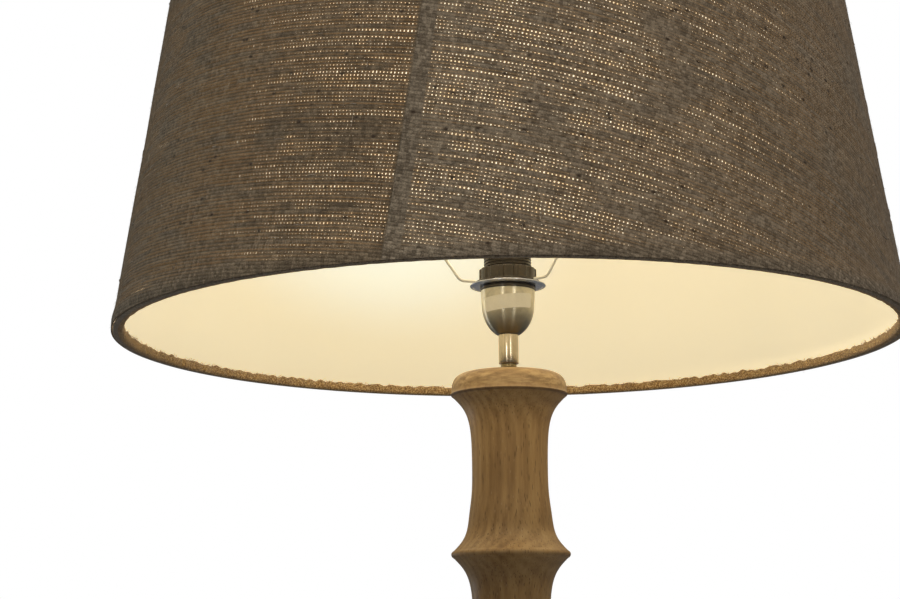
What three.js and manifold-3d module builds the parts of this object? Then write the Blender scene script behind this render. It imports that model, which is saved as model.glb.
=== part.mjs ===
// A table lamp: a turned wooden stand, a screw lampholder with its bulb, and a conical linen shade
// on a three-armed wire carrier. Millimetres, +Z up. The origin is the centre of the felt pad's
// underside, and the front of the lamp faces -Y.
import * as THREE from "three";
import { mergeVertices } from "three/addons/utils/BufferGeometryUtils.js";
import Module from "manifold-3d";

const wasm = await Module();
wasm.setup();

// ---------------------------------------------------------------- driving dimensions

const GAP = 0.3; // left between pieces that touch

// Heights above the table of the groups that the lamp is built from.
const FOOT_Z = 2; // top of the felt pad
const HEAD_Z = 453; // flat top of the wooden column
const RIM_Z = 480; // lower edge of the shade
const HOLDER_Z = HEAD_Z + 32.6; // underside of the lampholder cup

// Shade.
const SHADE_HEIGHT = 360;
const SHADE_RIM_R = 325;
const SHADE_TAPER = 0.141; // radius lost for each millimetre of height
const COVER_WALL = 1;
const LINING_WALL = 0.8;
const HEM_WALL = 1.2;
const RIM_HEM_HEIGHT = 7;
const TOP_HEM_HEIGHT = 4;
const SHADE_WIRE_R = 1.9;

// Carrier: three wires from a plate round the lampholder up to the top wire.
const ARM_COUNT = 3;
const FIRST_ARM_DEG = 78;
const ARM_WIRE_R = 1.25;
const ARM_BEND_R = 42; // distance of the bend from the lamp's axis
const PLATE_R = 31.8;
const PLATE_HOLE_R = 20.6;
const PLATE_THICKNESS = 1.6;

// Turned column.
const RIDGE_PITCH = 132;
const RIDGE_COUNT = 3; // below the head, the lowest of them on the foot
const CREASE_Z = 436; // widest line of the head
const CREASE_R = 47.2;
const HEAD_FLAT_R = 28; // nearly flat part of the head
const WAIST_R = 31;
const RIDGE_SWELL = 25; // these three give the curve from a waist to a ridge
const RIDGE_FADE = 10.8;
const RIDGE_NOSE = 4;
const FLARE = 1.55; // the waist also widens a little on its way down to a ridge
const FLARE_ABOVE_RIDGE = 31;
const FLARE_SPREAD = 16;
const DOME_POWER = 3; // 2 is an ellipse, more is squarer
const TENON_R = 18;
const TENON_LENGTH = 10;

// Foot.
const FOOT_R = 120;
const FOOT_CREASE_Z = 18;
const FOOT_TOP_Z = 42;
const FOOT_FLAT_R = 52; // flat seat for the column
const FOOT_UNDERSIDE_R = 113;
const NUT_RECESS_R = 22;
const NUT_RECESS_TOP_Z = 24;
const BALLAST_R = 96.5;
const BALLAST_HOLE_R = 25;
const BALLAST_THICKNESS = 8.3;
const BALLAST_SCREW_COUNT = 3;
const BALLAST_SCREW_RING_R = 62;
const BALLAST_SCREW_FIRST_DEG = 30; // keeps the screws clear of the cord's way to the rear
const BALLAST_SCREW_HEAD_R = 4.5;
const BALLAST_SCREW_SHANK_R = 2;
const BALLAST_SCREW_HEAD_HEIGHT = 2.5;
const BALLAST_SCREW_LENGTH = 19;
const FELT_R = 112;
const DUCT_Z = 18; // height of the cord's way through the foot
const DUCT_R = 4;
const GROMMET_BODY_R = 5.5;
const GROMMET_FLANGE_R = 8;
const GROMMET_BORE_R = 3.4;
const GROMMET_SEAT_Y = 117; // flat spot on the foot's rear that the grommet's flange sits on
const GROMMET_DEPTH = 14;

// Threaded rod (M10 pipe) and what is threaded on it.
const ROD_R = 5;
const ROD_BORE_R = 3.5;
const ROD_CLEARANCE_R = ROD_R + GAP;
const WOOD_BORE_R = 5.5;
const ROD_BOTTOM_Z = 13.5;
const ROD_TOP_Z = HOLDER_Z + 10.7;
const NECK_R = 8.3;
const COLLAR_HEIGHT = 7.2;
const COLLAR_FOOT_R = 8.9;
const COLLAR_FOOT_HEIGHT = 3.4;
const COLLAR_WAIST_R = 6.6;
const WASHER_R = 15;
const WASHER_THICKNESS = 1.7;
const BASE_NUT_FLATS = 17; // across flats
const BASE_NUT_THICKNESS = 6;
const CUP_NUT_FLATS = 14;
const CUP_NUT_THICKNESS = 5;

// Lampholder, measured from the underside of its cup.
const CUP_HEIGHT = 36.7;
const CUP_TOP_R = 22.65;
const CUP_BELLY_R = 22;
const CUP_BELLY_HEIGHT = 25;
const CUP_CURVE_HEIGHT = 28;
const CUP_WALL = 0.9;
const CUP_FLOOR = 1;
const LABEL_FROM_DEG = -149;
const LABEL_TO_DEG = -34;
const LABEL_HEIGHT = 12;
const LABEL_TILT_DEG = -5;
const LABEL_CENTRE = 24.6;
const LABEL_THICKNESS = 0.2;
const SKIRT_THREAD_R = 20;
const SKIRT_THREAD_PITCH = 2.5;
const SKIRT_BORE_R = 15.6;
const SKIRT_FLANGE_R = 23.3;
const SKIRT_FLANGE_THICKNESS = 3;
const SKIRT_HEIGHT = 30; // above its flange
const SKIRT_THREAD_DEPTH = 1.1;
const SPIGOT_R = 20.6; // the part of the skirt inside the cup
const SPIGOT_BORE_R = 18.6;
const SPIGOT_LENGTH = 12;
const INSERT_R = 18;
const INSERT_BOTTOM = 14.7;
const INSERT_TOP = 35.7;
const SCREW_SHELL_R = 14.4;
const SCREW_SHELL_BORE_R = 13.8;
const SCREW_SHELL_HEIGHT = 24;
const TERMINAL_SCREW_RING_R = 10;
const TERMINAL_SCREW_DEPTH = 8;
const TERMINAL_SHANK_R = 1.5;
const TERMINAL_HEAD_R = 3;
const TERMINAL_HEAD_HEIGHT = 2.2;

// Ring nut that clamps the shade's carrier plate on the skirt's thread.
const RING_NUT_HEIGHT = 13;
const RING_NUT_FLANGE_R = 27.6;
const RING_NUT_FLANGE_THICKNESS = 2.2;
const RING_NUT_LUG_R = 24;
const RING_NUT_WAIST_R = 22.8; // between the lugs
const RING_NUT_LUGS = 12;

// Bulb (E27), measured from the underside of its centre contact.
const BULB_HEIGHT = 105;
const GLOBE_R = 30;
const GLASS_WALL = 1.2;
const BULB_CAP_R = 13.2;
const BULB_CAP_WALL = 0.5;
const BULB_CAP_THREAD_DEPTH = 0.8;
const BULB_CAP_THREAD_PITCH = 3.6;
const BULB_CONTACT_R = 4.8;
const BULB_CONTACT_HEIGHT = 1.4;
const BULB_CAP_BOTTOM = 4.5;
const BULB_CAP_TOP = 24.2;

// Numbers of flats on a full turn.
const SHADE_FLATS = 60;
const WOOD_FLATS = 24;
const FOOT_FLATS = 36;
const METAL_FLATS = 24;
const SCREW_FLATS = 10;
const ARM_FLATS = 6;
const ARM_STEPS = 48;
const HOOP_FLATS = 6; // round the wire

// ---------------------------------------------------------------- derived heights

const BALLAST_Z = FOOT_Z + 2 * GAP;
const WASHER_Z = NUT_RECESS_TOP_Z - GAP - WASHER_THICKNESS;
const COLLAR_Z = HEAD_Z + GAP;
const FLANGE_Z = HOLDER_Z + CUP_HEIGHT + GAP;
const PLATE_Z = FLANGE_Z + SKIRT_FLANGE_THICKNESS + GAP;
const RING_NUT_Z = PLATE_Z + PLATE_THICKNESS + GAP;
const BULB_Z = HOLDER_Z + INSERT_TOP + 2.8;

// ---------------------------------------------------------------- shaping helpers

const radians = THREE.MathUtils.degToRad;

// Turns an outline of [radius, height] pairs about +Z. The outline runs up the outside. It either starts
// and ends on the axis, or is closed here.
function turned(outline, flats = METAL_FLATS) {
  const points = outline.map(([r, z]) => new THREE.Vector2(r, z));
  if (outline[0][0] > 0) {
    points.push(points[0].clone());
  }
  return new THREE.LatheGeometry(points, flats).rotateX(Math.PI / 2);
}

// A round tube wall between two radii and two heights.
function sleeve(innerR, outerR, bottom, top, flats = METAL_FLATS) {
  return turned([[innerR, bottom], [outerR, bottom], [outerR, top], [innerR, top]], flats);
}

// A plain round bar along +Z.
function bar(r, bottom, top, flats = METAL_FLATS) {
  return turned([[0, bottom], [r, bottom], [r, top], [0, top]], flats);
}

// Points of a quarter of a squared ellipse, from its widest line up to its flat top.
function domePoints(flatR, wideR, creaseZ, topZ, steps) {
  const points = [];
  for (let i = 0; i <= steps; i += 1) {
    const turn = (i / steps) * (Math.PI / 2);
    const across = Math.cos(turn) ** (2 / DOME_POWER);
    const up = Math.sin(turn) ** (2 / DOME_POWER);
    points.push([flatR + (wideR - flatR) * across, creaseZ + (topZ - creaseZ) * up]);
  }
  return points;
}

// A hexagonal nut with a round hole, standing on z = 0.
function hexNut(acrossFlats, holeR, thickness) {
  const cornerR = acrossFlats / 2 / Math.cos(Math.PI / 6);
  const corners = [];
  for (let i = 0; i < 6; i += 1) {
    const angle = (i * Math.PI) / 3;
    corners.push(new THREE.Vector2(cornerR * Math.cos(angle), cornerR * Math.sin(angle)));
  }
  const shape = new THREE.Shape(corners);
  shape.holes.push(new THREE.Path().absarc(0, 0, holeR, 0, 2 * Math.PI, true));
  return new THREE.ExtrudeGeometry(shape, {
    depth: thickness,
    bevelEnabled: false,
    curveSegments: SCREW_FLATS,
  });
}

// A countersunk screw with its point up, its head's face at z = 0.
function countersunkScrew(headR, shankR, headHeight, length) {
  const tip = shankR;
  return turned(
    [[0, 0], [headR, 0], [shankR, headHeight], [shankR, length - tip], [0, length]],
    SCREW_FLATS,
  );
}

// ---------------------------------------------------------------- joining and cutting

function toSolid(geometry) {
  const bare = geometry.clone();
  bare.deleteAttribute("normal");
  bare.deleteAttribute("uv");
  const merged = mergeVertices(bare, 1e-4);
  return new wasm.Manifold(
    new wasm.Mesh({
      numProp: 3,
      vertProperties: merged.getAttribute("position").array,
      triVerts: new Uint32Array(merged.index.array),
    }),
  );
}

function toGeometry(solid) {
  const made = solid.getMesh();
  const geometry = new THREE.BufferGeometry();
  geometry.setAttribute("position", new THREE.BufferAttribute(made.vertProperties, 3));
  geometry.setIndex(new THREE.BufferAttribute(made.triVerts, 1));
  geometry.computeVertexNormals();
  return geometry;
}

function cut(geometry, ...tools) {
  return toGeometry(tools.reduce((left, tool) => left.subtract(toSolid(tool)), toSolid(geometry)));
}

function joined(geometry, ...others) {
  return toGeometry(others.reduce((left, other) => left.add(toSolid(other)), toSolid(geometry)));
}

// ---------------------------------------------------------------- wooden stand

// Radius of the turned column at a height: a waist between ridges that swell and fade on both sides.
function columnRadius(z) {
  let radius = WAIST_R;
  for (let i = 0; i <= RIDGE_COUNT; i += 1) {
    const distance = Math.hypot(z - (CREASE_Z - i * RIDGE_PITCH), RIDGE_NOSE);
    radius += RIDGE_SWELL * Math.exp(-distance / RIDGE_FADE);
    const aboveRidge = z - (CREASE_Z - i * RIDGE_PITCH);
    radius += FLARE * Math.exp(-(((aboveRidge - FLARE_ABOVE_RIDGE) / FLARE_SPREAD) ** 2));
  }
  return radius;
}

function columnGeometry() {
  const stepsFromRidge = [3, 8, 15, 26, 40];
  const bottom = FOOT_TOP_Z + GAP;
  const outline = [
    [WOOD_BORE_R, bottom - TENON_LENGTH],
    [TENON_R, bottom - TENON_LENGTH],
    [TENON_R, bottom],
    [columnRadius(bottom), bottom],
  ];
  for (let i = RIDGE_COUNT; i > 0; i -= 1) {
    const ridge = CREASE_Z - i * RIDGE_PITCH;
    const heights = [
      ...stepsFromRidge.map((step) => ridge + step),
      ridge + RIDGE_PITCH / 2,
      ...stepsFromRidge.map((step) => ridge + RIDGE_PITCH - step).reverse(),
    ];
    heights.forEach((z) => outline.push([columnRadius(z), z]));
    if (i > 1) {
      outline.push([columnRadius(ridge + RIDGE_PITCH), ridge + RIDGE_PITCH]);
    }
  }
  outline.push(...domePoints(HEAD_FLAT_R, CREASE_R, CREASE_Z, HEAD_Z, 7));
  outline.push([WOOD_BORE_R, HEAD_Z]);
  return turned(outline, WOOD_FLATS);
}

// Places of the screws that hold the ballast.
function ballastScrewPlaces() {
  const places = [];
  for (let i = 0; i < BALLAST_SCREW_COUNT; i += 1) {
    const angle = radians(BALLAST_SCREW_FIRST_DEG + (i * 360) / BALLAST_SCREW_COUNT);
    const x = BALLAST_SCREW_RING_R * Math.cos(angle);
    const y = BALLAST_SCREW_RING_R * Math.sin(angle);
    places.push(new THREE.Vector3(x, y, BALLAST_Z + GAP));
  }
  return places;
}

// Holes for the ballast screws, one clearance wider than the screws all round.
function ballastScrewHoles(spare) {
  const below = -5; // starts clear of the face that is cut
  return ballastScrewPlaces().map((place) =>
    turned(
      [
        [0, below],
        [BALLAST_SCREW_HEAD_R + spare, below],
        [BALLAST_SCREW_HEAD_R + spare, 0],
        [BALLAST_SCREW_SHANK_R + spare, BALLAST_SCREW_HEAD_HEIGHT],
        [BALLAST_SCREW_SHANK_R + spare, BALLAST_SCREW_LENGTH + spare],
        [0, BALLAST_SCREW_LENGTH + spare],
      ],
      SCREW_FLATS,
    ).translate(place.x, place.y, place.z),
  );
}

// Turns a shape made along +Z so that it lies along +Y at the cord's height.
function alongCord(geometry) {
  return geometry.rotateX(-Math.PI / 2).translate(0, 0, DUCT_Z);
}

function footGeometry() {
  const bottom = FOOT_Z + GAP;
  const ballastRecessR = BALLAST_R + 0.5;
  const outside = FOOT_R + 5; // clear of the foot
  const ballastRecessTop = BALLAST_Z + BALLAST_THICKNESS + GAP;
  const mortiseR = TENON_R + GAP;
  const mortiseBottom = FOOT_TOP_Z - TENON_LENGTH - GAP;
  const blank = turned(
    [
      [WOOD_BORE_R, NUT_RECESS_TOP_Z],
      [NUT_RECESS_R, NUT_RECESS_TOP_Z],
      [NUT_RECESS_R, ballastRecessTop],
      [ballastRecessR, ballastRecessTop],
      [ballastRecessR, bottom],
      [FOOT_UNDERSIDE_R, bottom],
      [FOOT_UNDERSIDE_R + 1.2, bottom + 6],
      [FOOT_R - 2.6, FOOT_CREASE_Z - 4],
      ...domePoints(FOOT_FLAT_R, FOOT_R, FOOT_CREASE_Z, FOOT_TOP_Z, 7),
      [mortiseR, FOOT_TOP_Z],
      [mortiseR, mortiseBottom],
      [WOOD_BORE_R, mortiseBottom],
    ],
    FOOT_FLATS,
  );
  const duct = alongCord(bar(DUCT_R, NUT_RECESS_R - 5, GROMMET_SEAT_Y, SCREW_FLATS));
  const grommetHole = alongCord(
    bar(GROMMET_BODY_R + GAP, GROMMET_SEAT_Y - GROMMET_DEPTH - GAP, outside),
  );
  const grommetSeat = alongCord(bar(GROMMET_FLANGE_R + GAP, GROMMET_SEAT_Y, outside));
  return cut(blank, duct, grommetHole, grommetSeat, ...ballastScrewHoles(GAP));
}

function ballastGeometry() {
  const plate = sleeve(BALLAST_HOLE_R, BALLAST_R, BALLAST_Z, BALLAST_Z + BALLAST_THICKNESS, FOOT_FLATS);
  return cut(plate, ...ballastScrewHoles(GAP));
}

function grommetGeometry() {
  const seat = GROMMET_SEAT_Y + GAP;
  return alongCord(
    turned([
      [GROMMET_BORE_R, seat - GROMMET_DEPTH],
      [GROMMET_BODY_R, seat - GROMMET_DEPTH],
      [GROMMET_BODY_R, seat],
      [GROMMET_FLANGE_R, seat],
      [GROMMET_FLANGE_R - 0.6, seat + 2.2],
      [GROMMET_BORE_R + 1, seat + 3],
      [GROMMET_BORE_R, seat + 2.4],
    ]),
  );
}

// Waisted collar between the column's head and the neck tube.
function collarGeometry() {
  return turned([
    [ROD_CLEARANCE_R, 0],
    [COLLAR_FOOT_R, 0],
    [COLLAR_FOOT_R - 0.3, COLLAR_FOOT_HEIGHT],
    [COLLAR_WAIST_R, COLLAR_FOOT_HEIGHT + 1.2],
    [COLLAR_WAIST_R, COLLAR_HEIGHT],
    [ROD_CLEARANCE_R, COLLAR_HEIGHT],
  ]);
}

// ---------------------------------------------------------------- lampholder, from the cup's underside

// Outline of the cup's wall, drawn in by an offset for its inner face.
function cupRadius(height, inset) {
  if (height >= CUP_BELLY_HEIGHT) {
    const along = (height - CUP_BELLY_HEIGHT) / (CUP_HEIGHT - CUP_BELLY_HEIGHT);
    return CUP_BELLY_R + (CUP_TOP_R - CUP_BELLY_R) * along - inset;
  }
  const down = (CUP_BELLY_HEIGHT - height) / (CUP_CURVE_HEIGHT - inset);
  return (CUP_BELLY_R - inset) * Math.sqrt(1 - down * down);
}

function cupGeometry() {
  const outside = [0, 1.5, 4, 8, 13, 19, CUP_BELLY_HEIGHT, CUP_HEIGHT];
  const inside = [CUP_HEIGHT, CUP_BELLY_HEIGHT, 19, 13, 8, 4, CUP_FLOOR];
  return turned([
    [ROD_CLEARANCE_R, 0],
    ...outside.map((height) => [cupRadius(height, 0), height]),
    ...inside.map((height) => [cupRadius(height, CUP_WALL), height]),
    [ROD_CLEARANCE_R, CUP_FLOOR],
  ]);
}

// Threaded skirt: a spigot inside the cup, a flange on the cup's edge and a threaded barrel above it.
// The thread is plain rings above the ring nut, so the nut can turn freely.
function skirtGeometry() {
  const flangeBottom = CUP_HEIGHT + GAP;
  const flangeTop = flangeBottom + SKIRT_FLANGE_THICKNESS;
  const top = flangeTop + SKIRT_HEIGHT;
  const spigotBottom = flangeBottom - SPIGOT_LENGTH;
  const rootR = SKIRT_THREAD_R - SKIRT_THREAD_DEPTH;
  const chamfer = 1;
  const outline = [
    [SPIGOT_BORE_R, spigotBottom],
    [SPIGOT_R, spigotBottom],
    [SPIGOT_R, flangeBottom],
    [SKIRT_FLANGE_R, flangeBottom],
    [SKIRT_FLANGE_R, flangeTop],
    [rootR, flangeTop],
  ];
  const firstThread = RING_NUT_Z + RING_NUT_HEIGHT - HOLDER_Z + SKIRT_THREAD_PITCH / 2;
  for (let z = firstThread; z < top - SKIRT_THREAD_PITCH; z += SKIRT_THREAD_PITCH) {
    outline.push([rootR, z - SKIRT_THREAD_PITCH / 2]);
    outline.push([SKIRT_THREAD_R, z]);
  }
  outline.push([rootR, top - chamfer], [rootR - chamfer, top], [SKIRT_BORE_R, top]);
  outline.push([SKIRT_BORE_R, flangeTop], [SPIGOT_BORE_R, flangeBottom]);
  return turned(outline);
}

// Insulating insert with two blind holes in its underside for the terminal screws.
function insertGeometry() {
  const chamferR = 2;
  const chamferHeight = 5;
  const blank = turned([
    [0, INSERT_BOTTOM],
    [INSERT_R - chamferR, INSERT_BOTTOM],
    [INSERT_R, INSERT_BOTTOM + chamferHeight],
    [INSERT_R, INSERT_TOP],
    [0, INSERT_TOP],
  ]);
  const holes = [-1, 1].map((side) =>
    bar(
      TERMINAL_SHANK_R + GAP,
      INSERT_BOTTOM - 1,
      INSERT_BOTTOM + TERMINAL_SCREW_DEPTH + GAP,
      SCREW_FLATS,
    ).translate(side * TERMINAL_SCREW_RING_R, 0, 0),
  );
  return cut(blank, ...holes);
}

function terminalScrewGeometry() {
  return turned(
    [
      [0, -GAP - TERMINAL_HEAD_HEIGHT],
      [TERMINAL_HEAD_R, -GAP - TERMINAL_HEAD_HEIGHT],
      [TERMINAL_HEAD_R, -GAP],
      [TERMINAL_SHANK_R, -GAP],
      [TERMINAL_SHANK_R, TERMINAL_SCREW_DEPTH],
      [0, TERMINAL_SCREW_DEPTH],
    ],
    SCREW_FLATS,
  );
}

// Leaf spring that presses up on the bulb's contact, drawn from the side and 6 mm wide.
function centreContactGeometry() {
  const width = 6;
  const strip = 0.5;
  const rise = 2;
  const side = new THREE.Shape();
  side.moveTo(-9, 0);
  side.lineTo(-3, 0);
  side.lineTo(1, rise - strip);
  side.lineTo(5, rise - strip);
  side.lineTo(5, rise);
  side.lineTo(0.8, rise);
  side.lineTo(-3.2, strip);
  side.lineTo(-9, strip);
  side.closePath();
  const strap = new THREE.ExtrudeGeometry(side, { depth: width, bevelEnabled: false });
  return strap.rotateX(Math.PI / 2).translate(0, width / 2, INSERT_TOP + GAP);
}

// Paper label wrapped round the front of the cup, slightly tilted.
function labelGeometry() {
  const innerR = CUP_TOP_R + GAP + 0.35; // the extra clears the cup's flats at the tilted corners
  const outerR = innerR + LABEL_THICKNESS;
  const section = new THREE.Shape();
  section.absarc(0, 0, outerR, radians(LABEL_FROM_DEG), radians(LABEL_TO_DEG), false);
  section.absarc(0, 0, innerR, radians(LABEL_TO_DEG), radians(LABEL_FROM_DEG), true);
  section.closePath();
  const wrap = new THREE.ExtrudeGeometry(section, {
    depth: LABEL_HEIGHT,
    bevelEnabled: false,
    curveSegments: 12,
  });
  wrap.translate(0, 0, -LABEL_HEIGHT / 2);
  wrap.rotateY(radians(LABEL_TILT_DEG));
  return wrap.translate(0, 0, LABEL_CENTRE);
}

// ---------------------------------------------------------------- shade ring nut

// Grip ring with lugs round it and a thin flange below.
function ringNutGeometry() {
  const boreR = SKIRT_THREAD_R + GAP;
  // One lug and the dip after it, as shares of the pitch.
  const lug = [
    [-0.3, RING_NUT_LUG_R],
    [0.3, RING_NUT_LUG_R],
    [0.42, RING_NUT_WAIST_R],
    [0.58, RING_NUT_WAIST_R],
  ];
  const outline = [];
  for (let i = 0; i < RING_NUT_LUGS; i += 1) {
    lug.forEach(([share, r]) => {
      const angle = ((i + share) * 2 * Math.PI) / RING_NUT_LUGS;
      outline.push(new THREE.Vector2(r * Math.cos(angle), r * Math.sin(angle)));
    });
  }
  const shape = new THREE.Shape(outline);
  shape.holes.push(new THREE.Path().absarc(0, 0, boreR, 0, 2 * Math.PI, true));
  const bodyBottom = RING_NUT_FLANGE_THICKNESS / 2;
  const body = new THREE.ExtrudeGeometry(shape, {
    depth: RING_NUT_HEIGHT - bodyBottom,
    bevelEnabled: false,
    curveSegments: METAL_FLATS / 2,
  }).translate(0, 0, bodyBottom);
  // The same bore radius in both pieces would leave slivers, so the flange's is a little wider.
  const flangeBoreR = boreR + 0.05;
  return joined(body, sleeve(flangeBoreR, RING_NUT_FLANGE_R, 0, RING_NUT_FLANGE_THICKNESS));
}

// ---------------------------------------------------------------- shade, from its lower edge

// Outer radius of the shade's wall at a height above its lower edge.
function wallRadius(height) {
  return SHADE_RIM_R - SHADE_TAPER * height;
}

// A conical skin between the two hems, with its outer face set in from the shade's outline.
function skinGeometry(inset, wall) {
  const bottom = HEM_WALL + GAP;
  const top = SHADE_HEIGHT - HEM_WALL - GAP;
  return turned(
    [
      [wallRadius(bottom) - inset - wall, bottom],
      [wallRadius(bottom) - inset, bottom],
      [wallRadius(top) - inset, top],
      [wallRadius(top) - inset - wall, top],
    ],
    SHADE_FLATS,
  );
}

const WIRE_SET_IN = COVER_WALL + LINING_WALL + 2 * GAP + SHADE_WIRE_R; // wall's outside to wire's centre
const RIM_WIRE_HEIGHT = HEM_WALL + GAP + SHADE_WIRE_R;
const TOP_WIRE_HEIGHT = SHADE_HEIGHT - RIM_WIRE_HEIGHT;

function wireRadiusAt(height) {
  return wallRadius(height) - WIRE_SET_IN - SHADE_TAPER * SHADE_WIRE_R;
}

// Round wire bent into a hoop.
function hoopGeometry(height) {
  const centre = wireRadiusAt(height);
  const outline = [];
  for (let i = 0; i < HOOP_FLATS; i += 1) {
    const angle = (i * 2 * Math.PI) / HOOP_FLATS;
    outline.push([centre + SHADE_WIRE_R * Math.cos(angle), height + SHADE_WIRE_R * Math.sin(angle)]);
  }
  return turned(outline, SHADE_FLATS);
}

// Fabric edge folded under a hoop and up its inner side.
function rimHemGeometry() {
  const outerR = wallRadius(0);
  const legOuterR = wireRadiusAt(RIM_WIRE_HEIGHT) - SHADE_WIRE_R - GAP;
  const legInnerR = legOuterR - HEM_WALL;
  return turned(
    [
      [legInnerR, 0],
      [outerR, 0],
      [outerR - SHADE_TAPER * HEM_WALL, HEM_WALL],
      [legOuterR, HEM_WALL],
      [legOuterR, RIM_HEM_HEIGHT],
      [legInnerR, RIM_HEM_HEIGHT],
    ],
    SHADE_FLATS,
  );
}

// The same fold over the top hoop, with a shorter leg that leaves room for the carrier arms.
function topHemGeometry() {
  const legOuterR = wireRadiusAt(TOP_WIRE_HEIGHT) - SHADE_WIRE_R - GAP;
  const legInnerR = legOuterR - HEM_WALL;
  const under = SHADE_HEIGHT - HEM_WALL;
  return turned(
    [
      [legInnerR, SHADE_HEIGHT - TOP_HEM_HEIGHT],
      [legOuterR, SHADE_HEIGHT - TOP_HEM_HEIGHT],
      [legOuterR, under],
      [wallRadius(under), under],
      [wallRadius(SHADE_HEIGHT), SHADE_HEIGHT],
      [legInnerR, SHADE_HEIGHT],
    ],
    SHADE_FLATS,
  );
}

// Pressed plate with a small raised edge.
function plateGeometry() {
  const edge = 0.6;
  return turned([
    [PLATE_HOLE_R, 0],
    [PLATE_R - 1, 0],
    [PLATE_R, edge],
    [PLATE_R, PLATE_THICKNESS],
    [PLATE_HOLE_R, PLATE_THICKNESS],
  ]);
}

// One carrier wire, out along +X on the plate's top face and up to the top hoop.
function armGeometry() {
  const startR = PLATE_R - 3;
  const startZ = PLATE_Z - RIM_Z + PLATE_THICKNESS + GAP + ARM_WIRE_R;
  const hoopR = wireRadiusAt(TOP_WIRE_HEIGHT);
  const rise = new THREE.Vector2(hoopR - ARM_BEND_R, TOP_WIRE_HEIGHT - startZ).normalize();
  const reach = SHADE_WIRE_R + 2 * GAP;
  const bend = 7;
  const at = (r, z) => new THREE.Vector3(r, 0, z);
  const path = new THREE.CurvePath();
  const bendStart = at(ARM_BEND_R - bend, startZ);
  const bendEnd = at(ARM_BEND_R + bend * rise.x, startZ + bend * rise.y);
  const end = at(hoopR - reach * rise.x, TOP_WIRE_HEIGHT - reach * rise.y);
  path.add(new THREE.LineCurve3(at(startR, startZ), bendStart));
  path.add(new THREE.QuadraticBezierCurve3(bendStart, at(ARM_BEND_R, startZ), bendEnd));
  path.add(new THREE.LineCurve3(bendEnd, end));
  const section = new THREE.Shape().absarc(0, 0, ARM_WIRE_R, 0, 2 * Math.PI, false);
  return new THREE.ExtrudeGeometry(section, {
    steps: ARM_STEPS,
    curveSegments: ARM_FLATS / 2,
    extrudePath: path,
  });
}

// ---------------------------------------------------------------- bulb, from its contact's underside

function bulbContactGeometry() {
  return turned([
    [0, 0],
    [BULB_CONTACT_R - 1.4, 0],
    [BULB_CONTACT_R, BULB_CONTACT_HEIGHT / 2],
    [BULB_CONTACT_R, BULB_CONTACT_HEIGHT],
    [0, BULB_CONTACT_HEIGHT],
  ]);
}

function bulbInsulatorGeometry() {
  const bottom = BULB_CONTACT_HEIGHT + GAP;
  const top = BULB_CAP_BOTTOM - GAP;
  return turned([[0, bottom], [BULB_CONTACT_R + 1.2, bottom], [BULB_CAP_R - 1, top], [0, top]]);
}

// Cap with its thread as plain rings, a bottom that carries the insulator, and an open top.
function bulbCapGeometry() {
  const rootR = BULB_CAP_R - BULB_CAP_THREAD_DEPTH;
  const boreR = rootR - BULB_CAP_WALL;
  const plain = 3; // left without thread at both ends
  const outline = [[0, BULB_CAP_BOTTOM], [rootR, BULB_CAP_BOTTOM]];
  for (let z = BULB_CAP_BOTTOM + plain; z < BULB_CAP_TOP - plain; z += BULB_CAP_THREAD_PITCH) {
    outline.push([rootR, z - BULB_CAP_THREAD_PITCH / 2]);
    outline.push([BULB_CAP_R, z]);
  }
  outline.push([rootR, BULB_CAP_TOP - plain], [rootR, BULB_CAP_TOP], [boreR, BULB_CAP_TOP]);
  outline.push([boreR, BULB_CAP_BOTTOM + BULB_CAP_WALL], [0, BULB_CAP_BOTTOM + BULB_CAP_WALL]);
  return turned(outline);
}

// Blown glass globe with an open neck that stands on the cap.
function globeGeometry() {
  const neckBottom = BULB_CAP_TOP + GAP;
  const centre = BULB_HEIGHT - GLOBE_R;
  const blendAngle = radians(-32);
  const wallLine = (wall) => {
    const r = GLOBE_R - wall;
    const blend = new THREE.Vector2(r * Math.cos(blendAngle), centre + r * Math.sin(blendAngle));
    const neckR = BULB_CAP_R - BULB_CAP_THREAD_DEPTH - wall;
    const neck = new THREE.CubicBezierCurve(
      new THREE.Vector2(neckR, neckBottom),
      new THREE.Vector2(neckR + 0.5, neckBottom + 14),
      new THREE.Vector2(blend.x + 8 * Math.sin(blendAngle), blend.y - 8 * Math.cos(blendAngle)),
      blend,
    );
    const line = neck.getPoints(5).map((point) => [point.x, point.y]);
    const caps = 6;
    for (let i = 1; i <= caps; i += 1) {
      const angle = blendAngle + ((Math.PI / 2 - blendAngle) * i) / caps;
      line.push([i === caps ? 0 : r * Math.cos(angle), centre + r * Math.sin(angle)]);
    }
    return line;
  };
  const outside = wallLine(0);
  const inside = wallLine(GLASS_WALL).reverse();
  const outline = [...inside, ...outside];
  const points = outline.map(([r, z]) => new THREE.Vector2(r, z));
  return new THREE.LatheGeometry(points, METAL_FLATS).rotateX(Math.PI / 2);
}

// ---------------------------------------------------------------- materials

function finish(colour, roughness, metalness = 0) {
  return new THREE.MeshStandardMaterial({ color: colour, roughness, metalness });
}

const linen = () => finish(0x5a5044, 0.95);
const creamLaminate = () => finish(0xf3e6c4, 0.7);
const warmWood = () => finish(0x8a5f36, 0.55);
const brightSteel = () => finish(0xb9bcc2, 0.35, 1);
const zincSteel = () => finish(0xa9adb5, 0.4, 1);
const antiqueBrass = () => finish(0x9a8a66, 0.35, 1);
const contactBrass = () => finish(0xc9a253, 0.35, 1);
const brownPlastic = () => finish(0x2a1e14, 0.45);
const creamEnamel = () => finish(0xe9e3cf, 0.4);
const castIron = () => finish(0x3b3b3d, 0.8, 1);
const blackFelt = () => finish(0x2c2b2a, 1);
const blackRubber = () => finish(0x1f1f1f, 0.7);
const whiteCeramic = () => finish(0xe8e4da, 0.5);
const labelPaper = () => finish(0xe6d9b8, 0.6);
const opalGlass = () => finish(0xfff3da, 0.3);

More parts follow.
